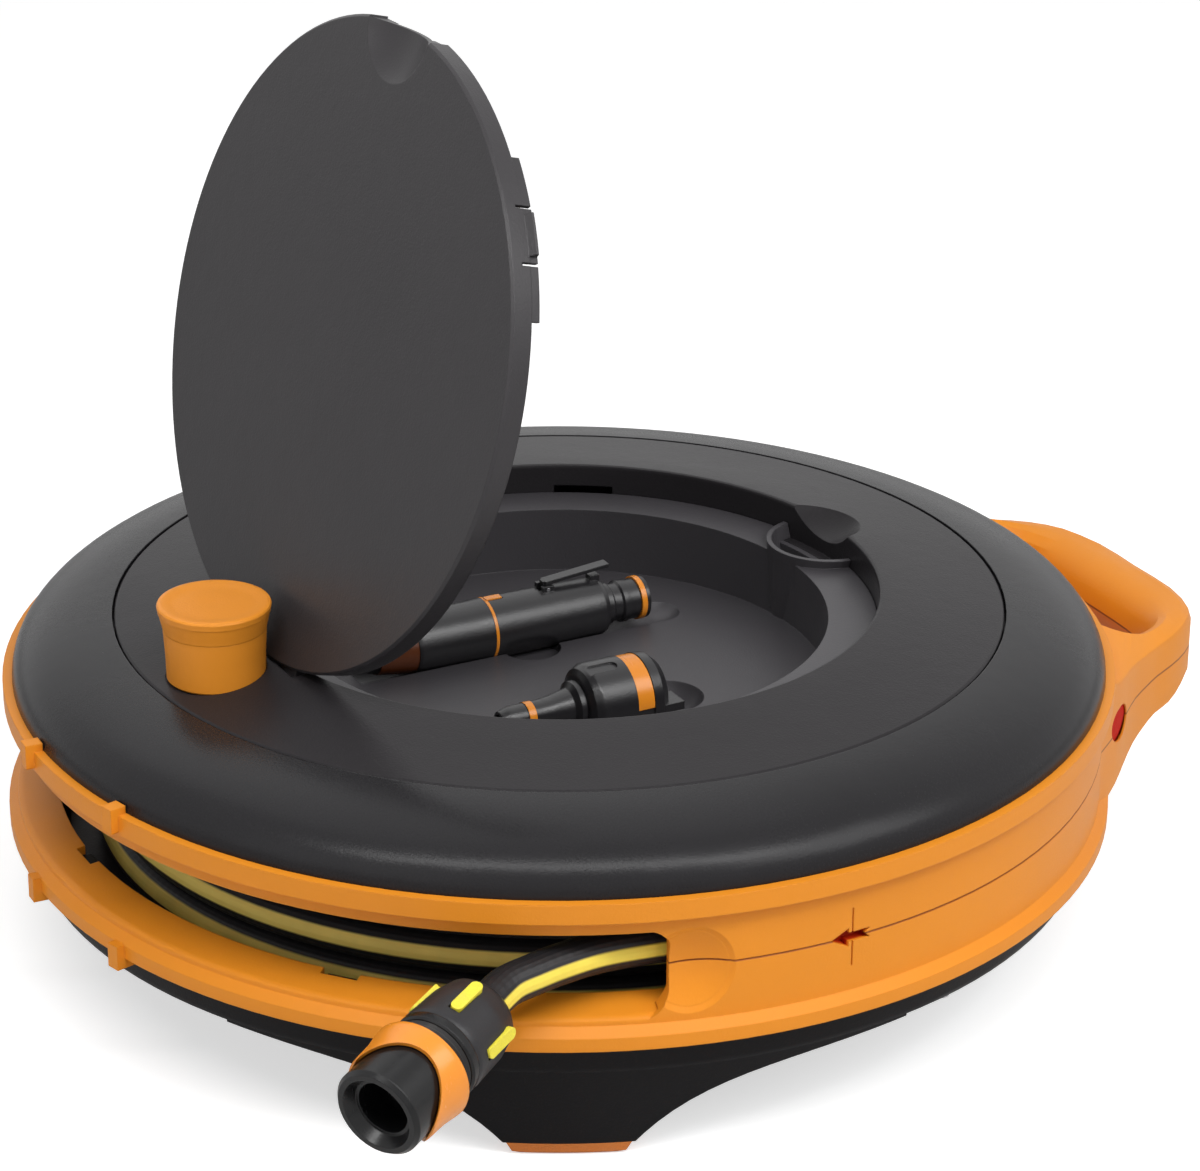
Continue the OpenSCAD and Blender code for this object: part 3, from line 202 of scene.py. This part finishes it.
def srgb(red, green, blue):
    """A colour taken from the photograph in 0 to 255, as the linear values that a shader takes."""
    linear = [c / 3294.6 if c <= 10 else ((c / 255 + 0.055) / 1.055) ** 2.4 for c in (red, green, blue)]
    return (*linear, 1.0)


def shade(colour, amount):
    return (*[c * amount for c in colour[:3]], 1.0)


print("middle grey", srgb(128, 128, 128), "and half of it", shade(srgb(128, 128, 128), 0.5))

# %% [markdown]
# ## Moulded plastic
# Nearly everything here is injection moulded. The steel of the mould was etched, so the plastic has a
# fine grain of about a millimetre that breaks up its reflections; the melt cools unevenly, so broad
# areas differ a little in tone; and handling leaves a few faint scuffs that are duller than the rest.
# One recipe with these three layers gives every plastic on the reel, in other colours and strengths.

# %% Plastic finishes
def moulded(name, colour, roughness, tone, grain, scuffs, edge=0.8, tint=None, **constants):
    """edge is the rounding of edges in millimetres. tint, if given, changes the body colour: it is a
    function of the finish, the place and the colour so far."""
    f = Finish(name, **constants)
    place = f.place()
    broad = f.noise(place, 7, 2)
    cloud = f.noise(place, 42, 3)
    fine = f.noise(place, 850, 3, 0.6)
    waves = f.noise(place, 95, 2)
    lines = f.noise(f.stretched(place, (22, 240, 60), (0.2, 0.1, 0.6)), 3.2, 2, 0.65)
    rubbed = lines.step(0.60, 0.74) * cloud.step(0.42, 0.62) * scuffs
    light = 1 + ((broad - 0.5) * 1.3 + (cloud - 0.5) * 0.5) * tone * 2
    body = f.mix((light - 0.7) / 0.6, shade(colour, 0.74), shade(colour, 1.26))
    if tint:
        body = tint(f, place, body)
    pale = (*[c * 0.9 + 0.035 for c in colour[:3]], 1.0)
    f.feed("Base Color", f.mix(rubbed * 0.35 + fine.step(0.5, 0.75) * 0.10 * grain, body, pale))
    f.feed("Roughness", roughness + (broad - 0.5) * 0.10 + (fine - 0.5) * 0.10 * grain + rubbed * 0.16)
    f.relief(fine * 0.75 * grain + waves * 0.5 - rubbed * 0.15, 0.0002, edge * MM)
    return f


housing = moulded("black_moulding", srgb(41, 39, 41), 0.34, 0.10, 0.7, 0.3, Specular_IOR_Level=0.12)
print("the main plastic", housing.material.name, "takes", len(housing.tree.nodes), "nodes")

# %% [markdown]
# ## The bearings, metal and rubber
# The screws, the clip, the hinge pin and the knob's axle are zinc plated steel: a metal shader whose
# roughness and tint drift in cloudy patches, with fine turning marks. Seals and pads are rubber,
# which is matt and a little dusty.

# %% Metal and rubber finishes
def plated(name, colour, roughness):
    f = Finish(name, Metallic=1.0)
    place = f.place()
    cloud = f.noise(place, 130, 4)
    turned = f.noise(f.stretched(place, (60, 60, 2400)), 1.0, 2)
    f.feed("Base Color", f.mix(cloud.step(0.35, 0.7), shade(colour, 0.82), colour))
    f.feed("Roughness", roughness + (cloud - 0.5) * 0.22 + (turned - 0.5) * 0.12)
    f.relief(turned, 0.00005, 0.0003)
    return f


def rubber(name, colour, roughness):
    f = Finish(name)
    place = f.place()
    cloud = f.noise(place, 60, 4)
    fine = f.noise(place, 1500, 3, 0.65)
    dust = cloud.step(0.5, 0.75) * 0.18
    body = f.mix(fine, shade(colour, 0.8), shade(colour, 1.2))
    f.feed("Base Color", f.mix(dust, body, srgb(150, 146, 140)))
    f.feed("Roughness", roughness + (cloud - 0.5) * 0.16 + (fine - 0.5) * 0.12)
    f.relief(fine + cloud * 0.6, 0.00018, 0.0005)
    return f


FINISHES = {
    "black_housing": housing,
    "orange_pad": rubber("orange_pad_rubber", srgb(206, 118, 44), 0.62),
    "steel": plated("zinc_plate", srgb(196, 196, 200), 0.32),
    "white_bearing": moulded("white_bearing_plastic", srgb(214, 212, 204), 0.38, 0.04, 0.4, 0.2),
    "hub_plastic": moulded("hub_moulding", srgb(50, 49, 52), 0.34, 0.06, 0.5, 0.2),
    "orange_fitting": moulded("orange_fitting_plastic", srgb(240, 146, 40), 0.26, 0.05, 0.3, 0.2, edge=0.5),
    "seal_rubber": rubber("seal_rubber", srgb(30, 30, 31), 0.68),
    "black_fitting": moulded("black_fitting_plastic", srgb(34, 33, 35), 0.30, 0.08, 0.5, 0.3, edge=0.6),
    "yellow_grip": rubber("yellow_grip_rubber", srgb(240, 226, 66), 0.50),
    "amber_metal": moulded("amber_soft_plastic", srgb(96, 48, 20), 0.30, 0.30, 0.4, 0.2),
}
print("finishes by slot", sorted(FINISHES))

# %% [markdown]
# ## Finishes of single parts
# Some parts differ from the rest of their slot. The cover is polished and carries the long highlight,
# the base is duller and darker, its dark colour painted shade, and the well is greyer, its grey painted
# light for its shaded recess; the lid is greyer too. The frame's plastic is the thin orange one: its sunk
# arrow is painted deep red as shade and bounced light, and the joint line between its halves is dark.
# Both are masks made from the place on the part.

# %% Own finishes
ORANGE = srgb(230, 142, 35)
ARROW_Y, ARROW_Z, SEAM_Z = -0.0095, 0.0982, 0.098  # from the drum's axis and the floor, in metres


def painted_arrow_shade_and_seam(f, place, body):
    """Paints the sunk arrow deep red as shade and bounced light, and darkens the joint line.
    The arrow's mask keeps to its depth, its length, its height and the front of the ring.
    """
    x, y, z = f.part(place, 0), f.part(place, 1) - AXIS_Y, f.part(place, 2)
    radius = (x * x + y * y) ** 0.5
    arrow = (1 - radius.step(0.2575, 0.2590)) * (1 - (y - ARROW_Y).size().step(0.012, 0.0125))
    arrow = arrow * (1 - (z - ARROW_Z).size().step(0.006, 0.007)) * x.step(0.24, 0.241)
    seam = 1 - (z - SEAM_Z).size().step(0.0003, 0.0007)
    # the arrow's deep red is painted shade and bounced light; the darker brown is the dark joint line
    return f.mix(arrow, f.mix(seam * 0.8, body, srgb(132, 58, 16)), srgb(196, 52, 16))


frame_orange = moulded("frame_moulding", ORANGE, 0.42, 0.05, 0.7, 0.3, edge=0.9, tint=painted_arrow_shade_and_seam,
                       Specular_IOR_Level=0.25)
knob_orange = moulded("knob_moulding", srgb(236, 148, 44), 0.40, 0.05, 0.6, 0.3, edge=0.4,
                      Specular_IOR_Level=0.3)
OWN = {
    # the base's very dark colour is painted shade for its low, downward-facing surfaces
    "base_shell": moulded("base_moulding", srgb(17, 16, 18), 0.36, 0.08, 0.7, 0.3, edge=1.2,
                          Specular_IOR_Level=0.14),
    "cover_ring": moulded("cover_moulding", srgb(32, 31, 33), 0.27, 0.10, 0.5, 0.1,
                          Specular_IOR_Level=0.18),
    # the well's lighter grey is painted light that lifts its shaded recess
    "storage_tub": moulded("well_moulding", srgb(68, 66, 69), 0.40, 0.08, 0.6, 0.3,
                           Specular_IOR_Level=0.3),
    "lid": moulded("lid_moulding", srgb(52, 50, 52), 0.38, 0.10, 0.6, 0.25, Specular_IOR_Level=0.3),
    "connector_body": moulded("muzzle_plastic", srgb(16, 16, 17), 0.26, 0.08, 0.3, 0.2, edge=0.6,
                              Specular_IOR_Level=0.34),
    "connector_nut": moulded("nut_plastic", srgb(40, 39, 41), 0.38, 0.08, 0.5, 0.3, edge=0.6,
                             Specular_IOR_Level=0.3),
    "frame_lower": frame_orange,
    "frame_upper": frame_orange,
    "knob_body": knob_orange,
    "knob_cap": knob_orange,
}
print("parts with a finish of their own", sorted(OWN))

# %% [markdown]
# ## The hose
# The hose is black with one or two bright yellow stripes moulded lengthwise into its wall, and the
# knitted yarn inside shows through as a faint net. A stripe has to follow the hose round every turn,
# so the finish reads a UV map: U goes once round the hose and V runs along it in metres. The stripe
# is then simply a range of U that wanders slowly with V, and the net is a product of two waves.

# %% Hose finish
YARN_ROUND, YARN_ALONG = 75.4, 640  # how fast the net's waves turn, per unit of U and of V


def hose_finish(name, stripes, yellow, wander):
    """stripes are (place round the hose, half of its width), as shares of a turn."""
    f = Finish(name, Specular_IOR_Level=0.3)
    uv = f.node("ShaderNodeUVMap", {"uv_map": "hose"})
    around, along = f.part(uv, 0), f.part(uv, 1)
    place = f.place()
    cloud = f.noise(place, 30, 3)
    fine = f.noise(place, 1400, 3, 0.6)
    drift = ((along * 5.1).sin() + (along * 2.3 + 1.1).sin()) * wander
    mask = None
    for centre, half in stripes:
        shifted = around - centre + drift + 4.0  # whole turns keep it above zero
        off = f.node("ShaderNodeMath", {"operation": "PINGPONG"}, {0: shifted, 1: 0.5})
        band = 1 - off.step(half - 0.012, half + 0.012)
        mask = band if mask is None else mask + band
    net = ((around * YARN_ROUND + along * YARN_ALONG).sin()
           * (around * YARN_ROUND - along * YARN_ALONG).sin())
    black = f.mix(cloud, srgb(22, 22, 24), srgb(38, 37, 39))
    bright = f.mix(cloud.step(0.3, 0.7), shade(yellow, 0.90), shade(yellow, 1.06))
    f.feed("Base Color", f.mix(mask, black, bright))
    f.feed("Roughness", 0.48 + (cloud - 0.5) * 0.14 + (fine - 0.5) * 0.08 + mask * 0.04)
    f.relief(net * 0.35 + fine * 0.35 + mask * 0.5, 0.00022, 0.0002)
    return f


YELLOW = srgb(252, 228, 92)
tail_finish = hose_finish("hose_free_end", [(0.03, 0.052), (0.55, 0.052)], YELLOW, 0.006)
print("the hose's finish takes", len(tail_finish.tree.nodes), "nodes")

# %% [markdown]
# ## A tube along a path
# A bevelled curve would make a round tube quickly, but its rings twist where the path turns, and the
# stripes with them. So the tube is made ring by ring: every ring stands square to the path with its
# first corner level to the side, and the UV map is written along with the faces.

# %% Tube
def tube(name, path, radius, sides, finish):
    """A closed tube of rings along a path, with U round it and V along it in metres."""
    points = [Vector(p) for p in path]
    corners, faces, uvs = [], [], []
    travelled = 0.0
    reach = []
    for i, point in enumerate(points):
        ahead = (points[min(i + 1, len(points) - 1)] - points[max(i - 1, 0)]).normalized()
        side = Vector((0, 0, 1)).cross(ahead).normalized()
        up = ahead.cross(side)
        if i:
            travelled += (point - points[i - 1]).length
        reach.append(travelled)
        for j in range(sides):
            turn = math.tau * j / sides
            corners.append(point + radius * (math.cos(turn) * side + math.sin(turn) * up))
    for i in range(len(points) - 1):
        for j in range(sides):
            k = (j + 1) % sides
            faces.append((i * sides + j, i * sides + k, (i + 1) * sides + k, (i + 1) * sides + j))
            uvs += [(j / sides, reach[i]), ((j + 1) / sides, reach[i]),
                    ((j + 1) / sides, reach[i + 1]), (j / sides, reach[i + 1])]
    last = (len(points) - 1) * sides
    faces.append(tuple(range(sides - 1, -1, -1)))
    faces.append(tuple(range(last, last + sides)))
    uvs += [(j / sides, 0.0) for j in range(sides - 1, -1, -1)]
    uvs += [(j / sides, travelled) for j in range(sides)]
    mesh = bpy.data.meshes.new(name)
    mesh.from_pydata(corners, [], faces)
    layer = mesh.uv_layers.new(name="hose")
    for loop, uv in zip(layer.data, uvs):
        loop.uv = uv
    for face in mesh.polygons:
        face.use_smooth = len(face.vertices) == 4
    mesh.materials.append(finish.material)
    mesh.update()
    piece = bpy.data.objects.new(name, mesh)
    bpy.context.collection.objects.link(piece)
    print(name, "is", round(travelled, 3), "m long")
    return piece, travelled

# %% [markdown]
# ## The hose's free end
# The free end leaves the winding behind the frame's slot, crosses the shelf and hangs over the lip
# into its quick connector. The route repeats the construction model's points, joined by the same
# smooth curve, so the tube runs where the solid does and enters the nut straight.

# %% Free end
HOSE_MM = 18
HOSE = HOSE_MM * MM
TAIL = [(188.5, 137, 96), (212.9, 94.8, 96), (227.9, 48.4, 96), (233, 0, 96), (231, -33, 97),
        (226.5, -62, 98), (221, -88, 98.8), (217.5, -112, 99.3), (217, -131, 98.6), (217.6, -145, 97.6),
        (218.6, -158.3, 95.9), (226.5, -174.2, 93.2)]


def from_axis(x, y, z):
    """A point of the construction model, in millimetres from the drum's axis, in this frame."""
    return Vector((x * MM, y * MM + AXIS_Y, z * MM))


def smooth_path(points, steps):
    """The construction model's curve: it passes through every point."""
    curve = []
    for i in range(len(points) - 1):
        a, b, c, d = (points[max(0, min(len(points) - 1, i + k))] for k in (-1, 0, 1, 2))
        for k in range(steps):
            t = k / steps
            curve.append(0.5 * (2 * b + (c - a) * t + (2 * a - 5 * b + 4 * c - d) * t * t
                                + (3 * b - a - 3 * c + d) * t ** 3))
    return curve + [points[-1]]


tail_path = smooth_path([from_axis(*p) for p in TAIL], 6)
tail, tail_length = tube("hose_free_end", tail_path, HOSE / 2, 24, tail_finish)
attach(tail, "base")
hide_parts("hose_tail")

# %% [markdown]
# ## The wound hose
# The drum carries the hose in layers. The outer layer is one unbroken tube of nearly four turns: each
# turn runs flat and then climbs by one hose in a short stretch, as a guided hose does.

# %% Winding
BARREL, TURNS, LAYERS, GAP = 169.4, 4, 3, 0.6  # millimetres and counts
SPOOL_Z = 48 + 2.2 + 0.3  # the pan's top, the glide ring and a fit
WIND_Z = SPOOL_Z + 3 + 0.4 + 9  # the flange, a gap and half a hose
WIND_R = BARREL + HOSE_MM * (LAYERS - 0.5)
PITCH = HOSE_MM + GAP
CLIMB, CLIMB_AT, RINGS = 0.12, 100, 120  # share of a turn, degrees, rings in a turn


def wound_point(i):
    turn = int(i / RINGS + 1e-6)
    part = i / RINGS - turn
    climbing = part > 1 - CLIMB and turn < TURNS - 1
    t = (part - 1 + CLIMB) / CLIMB if climbing else 0
    angle = math.radians(CLIMB_AT + 360 * i / RINGS)
    height = WIND_Z + PITCH * (turn + t * t * (3 - 2 * t))
    return from_axis(WIND_R * math.cos(angle), WIND_R * math.sin(angle), height)


wound_path = [wound_point(i) for i in range(int(RINGS * (TURNS - CLIMB)) + 1)]
# the wound stripes' paler, brighter yellow is painted light for the shade inside the slot
wound_finish = hose_finish("wound_hose", [(0.45, 0.062)], srgb(255, 230, 120), 0.012)
winding, _ = tube("hose_winding_turns", wound_path, HOSE / 2, 18, wound_finish)
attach(winding, "drum")
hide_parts("hose_winding")

# %% [markdown]
# ## The layer behind it
# Between the outer turns only the rounded backs of the next layer can be glimpsed. Nobody can follow
# a turn there, so four closed rings do, joined into one piece.

# %% Inner turns
bpy.ops.object.select_all(action="DESELECT")
inner_turns = []
for turn in range(TURNS):
    bpy.ops.mesh.primitive_torus_add(
        location=from_axis(0, 0, WIND_Z + PITCH * turn), major_radius=(WIND_R - HOSE_MM) * MM,
        minor_radius=HOSE / 2, major_segments=120, minor_segments=14)
    inner_turns.append(bpy.context.object)
for ring in inner_turns:
    ring.select_set(True)
bpy.ops.object.join()
bpy.ops.object.transform_apply(location=True, rotation=True, scale=True)
bpy.ops.object.shade_smooth()
inner = bpy.context.object
inner.name = "hose_inner_turns"
inner.data.materials.clear()
inner.data.materials.append(rubber("inner_hose", srgb(34, 34, 36), 0.5).material)
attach(inner, "drum")
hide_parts("hose_core")
print(inner.name, "has", len(inner.data.polygons), "faces")

# %% [markdown]
# ## The inner end of the hose
# Inside the barrel a short lead brings water from the hub to the hose. It is plain black hose, hidden
# behind the disc, and follows the construction model's route in the level of the hub's port.

# %% Lead inside the drum
LEAD = [(56, 0), (68, 0), (76, 0), (114, -18), (136, -50), (140, -84), (130, -114)]
PORT_Z = SPOOL_Z + 27
lead_path = smooth_path([from_axis(x, y, PORT_Z) for x, y in LEAD], 8)
lead_finish = hose_finish("inner_lead", [(0.25, 0.1)], YELLOW, 0.01)
lead, _ = tube("hose_inner_lead", lead_path, HOSE / 2, 16, lead_finish)
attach(lead, "drum")
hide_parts("hose_lead")

# %% [markdown]
# ## Dressing the moulded parts
# The rigid parts already have their true shape in the construction model, so modelling them again
# would only lose accuracy. A copy of each mesh is welded, its smooth surfaces are shaded smooth up to
# an angle, and flat faces keep their own normals through a Weighted Normal modifier. That turns the
# facets of the handle and the dome into the continuous surfaces that they are. The frame's narrow
# bands need a smaller angle, and the knob's long flare looks truer without the weighting.

# %% Weld and shade the rigid parts
WELD = 2e-6  # metres
SMOOTH_ANGLE, FRAME_ANGLE = 32, 24  # degrees


def dress(node, finish, angle, weigh):
    source = frame["nodes"][node]
    mesh = source.data.copy()
    piece = bpy.data.objects.new(node + "_dressed", mesh)
    bpy.context.collection.objects.link(piece)
    bpy.ops.object.select_all(action="DESELECT")
    piece.select_set(True)
    bpy.context.view_layer.objects.active = piece
    bpy.ops.mesh.customdata_custom_splitnormals_clear()
    bpy.ops.object.mode_set(mode="EDIT")
    bpy.ops.mesh.select_all(action="SELECT")
    bpy.ops.mesh.remove_doubles(threshold=WELD)
    bpy.ops.object.mode_set(mode="OBJECT")
    bpy.ops.object.shade_smooth_by_angle(angle=math.radians(angle))
    if weigh:
        weighted = piece.modifiers.new("weighted", "WEIGHTED_NORMAL")
        weighted.keep_sharp = True
        weighted.weight = 60
        bpy.ops.object.modifier_apply(modifier=weighted.name)
    mesh = piece.data
    mesh.materials.clear()
    mesh.materials.append(finish.material)
    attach(piece, source["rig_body"])
    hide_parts(node)
    return piece


slot_of = {part["node"]: part["material_slot"] for part in frame["record"]["subparts"]}
SOFT = {"hose_tail", "hose_winding", "hose_core", "hose_lead", "collar_spring"}
for node in sorted(slot_of):
    if node not in SOFT:
        dress(node, OWN.get(node) or FINISHES[slot_of[node]],
                              FRAME_ANGLE if node.startswith("frame") else SMOOTH_ANGLE,
                              weigh=node != "knob_body")

# %% [markdown]
# ## The collar's spring
# Behind the orange collar sits a rubber bellows that pushes the collar home. An open cylinder is cut
# into short bands, a cosine draws them in to three folds, and a Solidify modifier gives it a wall.

# %% Collar spring
NUT_TURN, NUT_DIP = math.radians(-63.7), math.radians(8.6)
FROM_NUT = 37  # millimetres from the hose's end to the spring's foot
SPRING_R, SPRING_LONG, SPRING_WALL, FOLDS = 19.2, 6.8, 1.6, 3

nut_axis = Vector((math.cos(NUT_TURN) * math.cos(NUT_DIP), math.sin(NUT_TURN) * math.cos(NUT_DIP),
                   -math.sin(NUT_DIP)))
spring_at = tail_path[-1] + nut_axis * FROM_NUT * MM
bpy.ops.object.select_all(action="DESELECT")
bpy.ops.mesh.primitive_cylinder_add(
    vertices=64, radius=SPRING_R * MM, depth=SPRING_LONG * MM, end_fill_type="NOTHING")
bellows = bpy.context.object
bellows.name = "collar_bellows"
bpy.ops.object.mode_set(mode="EDIT")
bpy.ops.mesh.select_all(action="SELECT")
bpy.ops.mesh.subdivide(number_cuts=5)
bpy.ops.object.mode_set(mode="OBJECT")
for corner in bellows.data.vertices:
    fold = 1 - 0.06 * (0.5 + 0.5 * math.cos(math.tau * FOLDS * corner.co.z / (SPRING_LONG * MM)))
    corner.co.x *= fold
    corner.co.y *= fold
wall = bellows.modifiers.new("wall", "SOLIDIFY")
wall.thickness = SPRING_WALL * MM
wall.offset = -1
bpy.ops.object.modifier_apply(modifier=wall.name)
bellows.data.transform(Matrix.Translation(spring_at + nut_axis * 3.45 * MM)
                       @ nut_axis.to_track_quat("Z", "Y").to_matrix().to_4x4())
bpy.ops.object.shade_smooth_by_angle(angle=math.radians(50))
bellows.data.materials.append(rubber("bellows_rubber", srgb(34, 34, 35), 0.5).material)
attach(bellows, "base")
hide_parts("collar_spring")
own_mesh(bellows)
print("bellows has", len(bellows.data.polygons), "faces")

# %% [markdown]
# ## A plate of painted glow for the root opening
# The oval opening at the root of the handle leads into the hollow grip. In the photograph it glows
# deep red, because thin orange plastic lets light through. A red plate close behind the opening paints
# that glow of light through the plastic, so it shows under any light.

# %% Root plate
ROOT_DEPTH = 0.9  # millimetres from the middle of the opening's cut
ROOT_TURN = math.radians(37.5)
HALF_SIZES = (17 * MM, 10.4 * MM, 0.8 * MM)  # half of its length, height and thickness

root = from_axis(149.87, 221.93, 100)
inward = Vector((-math.cos(ROOT_TURN), -math.sin(ROOT_TURN), 0))
bpy.ops.object.select_all(action="DESELECT")
bpy.ops.mesh.primitive_uv_sphere_add(segments=32, ring_count=12, radius=1)
plate = bpy.context.object
plate.name = "painted_glow_plate"
turned = inward.to_track_quat("Z", "Y").to_matrix().to_4x4()
plate.data.transform(Matrix.Translation(root + inward * ROOT_DEPTH * MM) @ turned
                     @ Matrix.Diagonal((*HALF_SIZES, 1)))
bpy.ops.object.shade_smooth()
# the plate's deep red is painted glow of light coming through the orange plastic
painted_root_glow = moulded("painted_root_glow", srgb(190, 26, 8), 0.6, 0.12, 0.6, 0.2, Specular_IOR_Level=0.05)
plate.data.materials.append(painted_root_glow.material)
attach(plate, "base")
print("root plate stands", ROOT_DEPTH, "mm behind the opening")

# %% [markdown]

# %% [markdown]
# ## The floor
# The photograph has a pure white ground. The floor is a pale sheet whose colour is lifted to white
# only where the camera sees it: the lift adds the same amount everywhere, so the object's shadow
# stays, and the object isn't lit by it from below.

# %% Floor
GLOW = 0.60

bpy.ops.object.select_all(action="DESELECT")
bpy.ops.mesh.primitive_plane_add(size=14)
floor = bpy.context.object
floor.name = "studio_floor"
ground = Finish("studio_white", Base_Color=srgb(226, 226, 226), Roughness=0.9, Specular_IOR_Level=0.1)
plain = Value(ground, ground.shader.outputs[0])
rays = ground.node("ShaderNodeLightPath", output="Is Camera Ray")
glow = ground.node("ShaderNodeEmission", inputs={"Strength": GLOW})
lit = ground.node("ShaderNodeAddShader", inputs={0: plain, 1: glow})
seen = ground.node("ShaderNodeMixShader", inputs={0: rays, 1: plain, 2: lit})
ground.tree.links.new(seen.socket, ground.tree.nodes["Material Output"].inputs["Surface"])
floor.data.materials.append(ground.material)
print(floor.name, "is", round(floor.dimensions.x, 1), "m wide")

# %% [markdown]
# ## The lamps
# The light in the photograph is very soft, so the lamps are large panels at a plain level: a key from
# the right, a fill from the left, a long strip above the camera that lays the bright band on the
# cover's shoulder, and a weak one over the top.

# %% Lamps
AIM = Vector((0, 0, 0.1))


def panel(name, place, width, height, power):
    bpy.ops.object.light_add(type="AREA", location=place)
    lamp = bpy.context.object
    lamp.name = name
    lamp.data.shape = "RECTANGLE"
    lamp.data.size = width
    lamp.data.size_y = height
    lamp.data.energy = power
    lamp.rotation_euler = (AIM - Vector(place)).to_track_quat("-Z", "Y").to_euler()
    print(name, "at", place, power, "W")


panel("key_panel", (1.7, 0.9, 1.7), 1.6, 1.2, 22)
panel("fill_panel", (0.6, -2.1, 1.0), 1.6, 1.2, 3)
panel("front_strip", (0.78, -0.48, 1.45), 2.0, 0.3, 18)
panel("top_panel", (-0.9, 0.1, 1.9), 1.8, 1.8, 5)

# %% [markdown]
# ## The background
# A white world at full strength would flood the object with flat light. So the world is white for
# rays that come from the camera, from a reflection or through something clear, and weaker for the
# rays that only light a surface.

# %% World
AMBIENT, WHITE = 0.29, 1.0

world = bpy.data.worlds.new("studio")
bpy.context.scene.world = world
world.use_nodes = True
nodes, links = world.node_tree.nodes, world.node_tree.links
path = nodes.new("ShaderNodeLightPath")
seen_ray = path.outputs["Is Camera Ray"]
for kind in ("Is Glossy Ray", "Is Transmission Ray"):
    either = nodes.new("ShaderNodeMath")
    either.operation = "MAXIMUM"
    links.new(seen_ray, either.inputs[0])
    links.new(path.outputs[kind], either.inputs[1])
    seen_ray = either.outputs[0]
level = nodes.new("ShaderNodeMapRange")
level.inputs["To Min"].default_value = AMBIENT
level.inputs["To Max"].default_value = WHITE
links.new(seen_ray, level.inputs["Value"])
links.new(level.outputs[0], nodes["Background"].inputs["Strength"])
nodes["Background"].inputs["Color"].default_value = (1, 1, 1, 1)
bpy.context.scene.view_settings.view_transform = "Standard"
print("world has strength", AMBIENT, "for light and", WHITE, "where it is seen")

# %% [markdown]
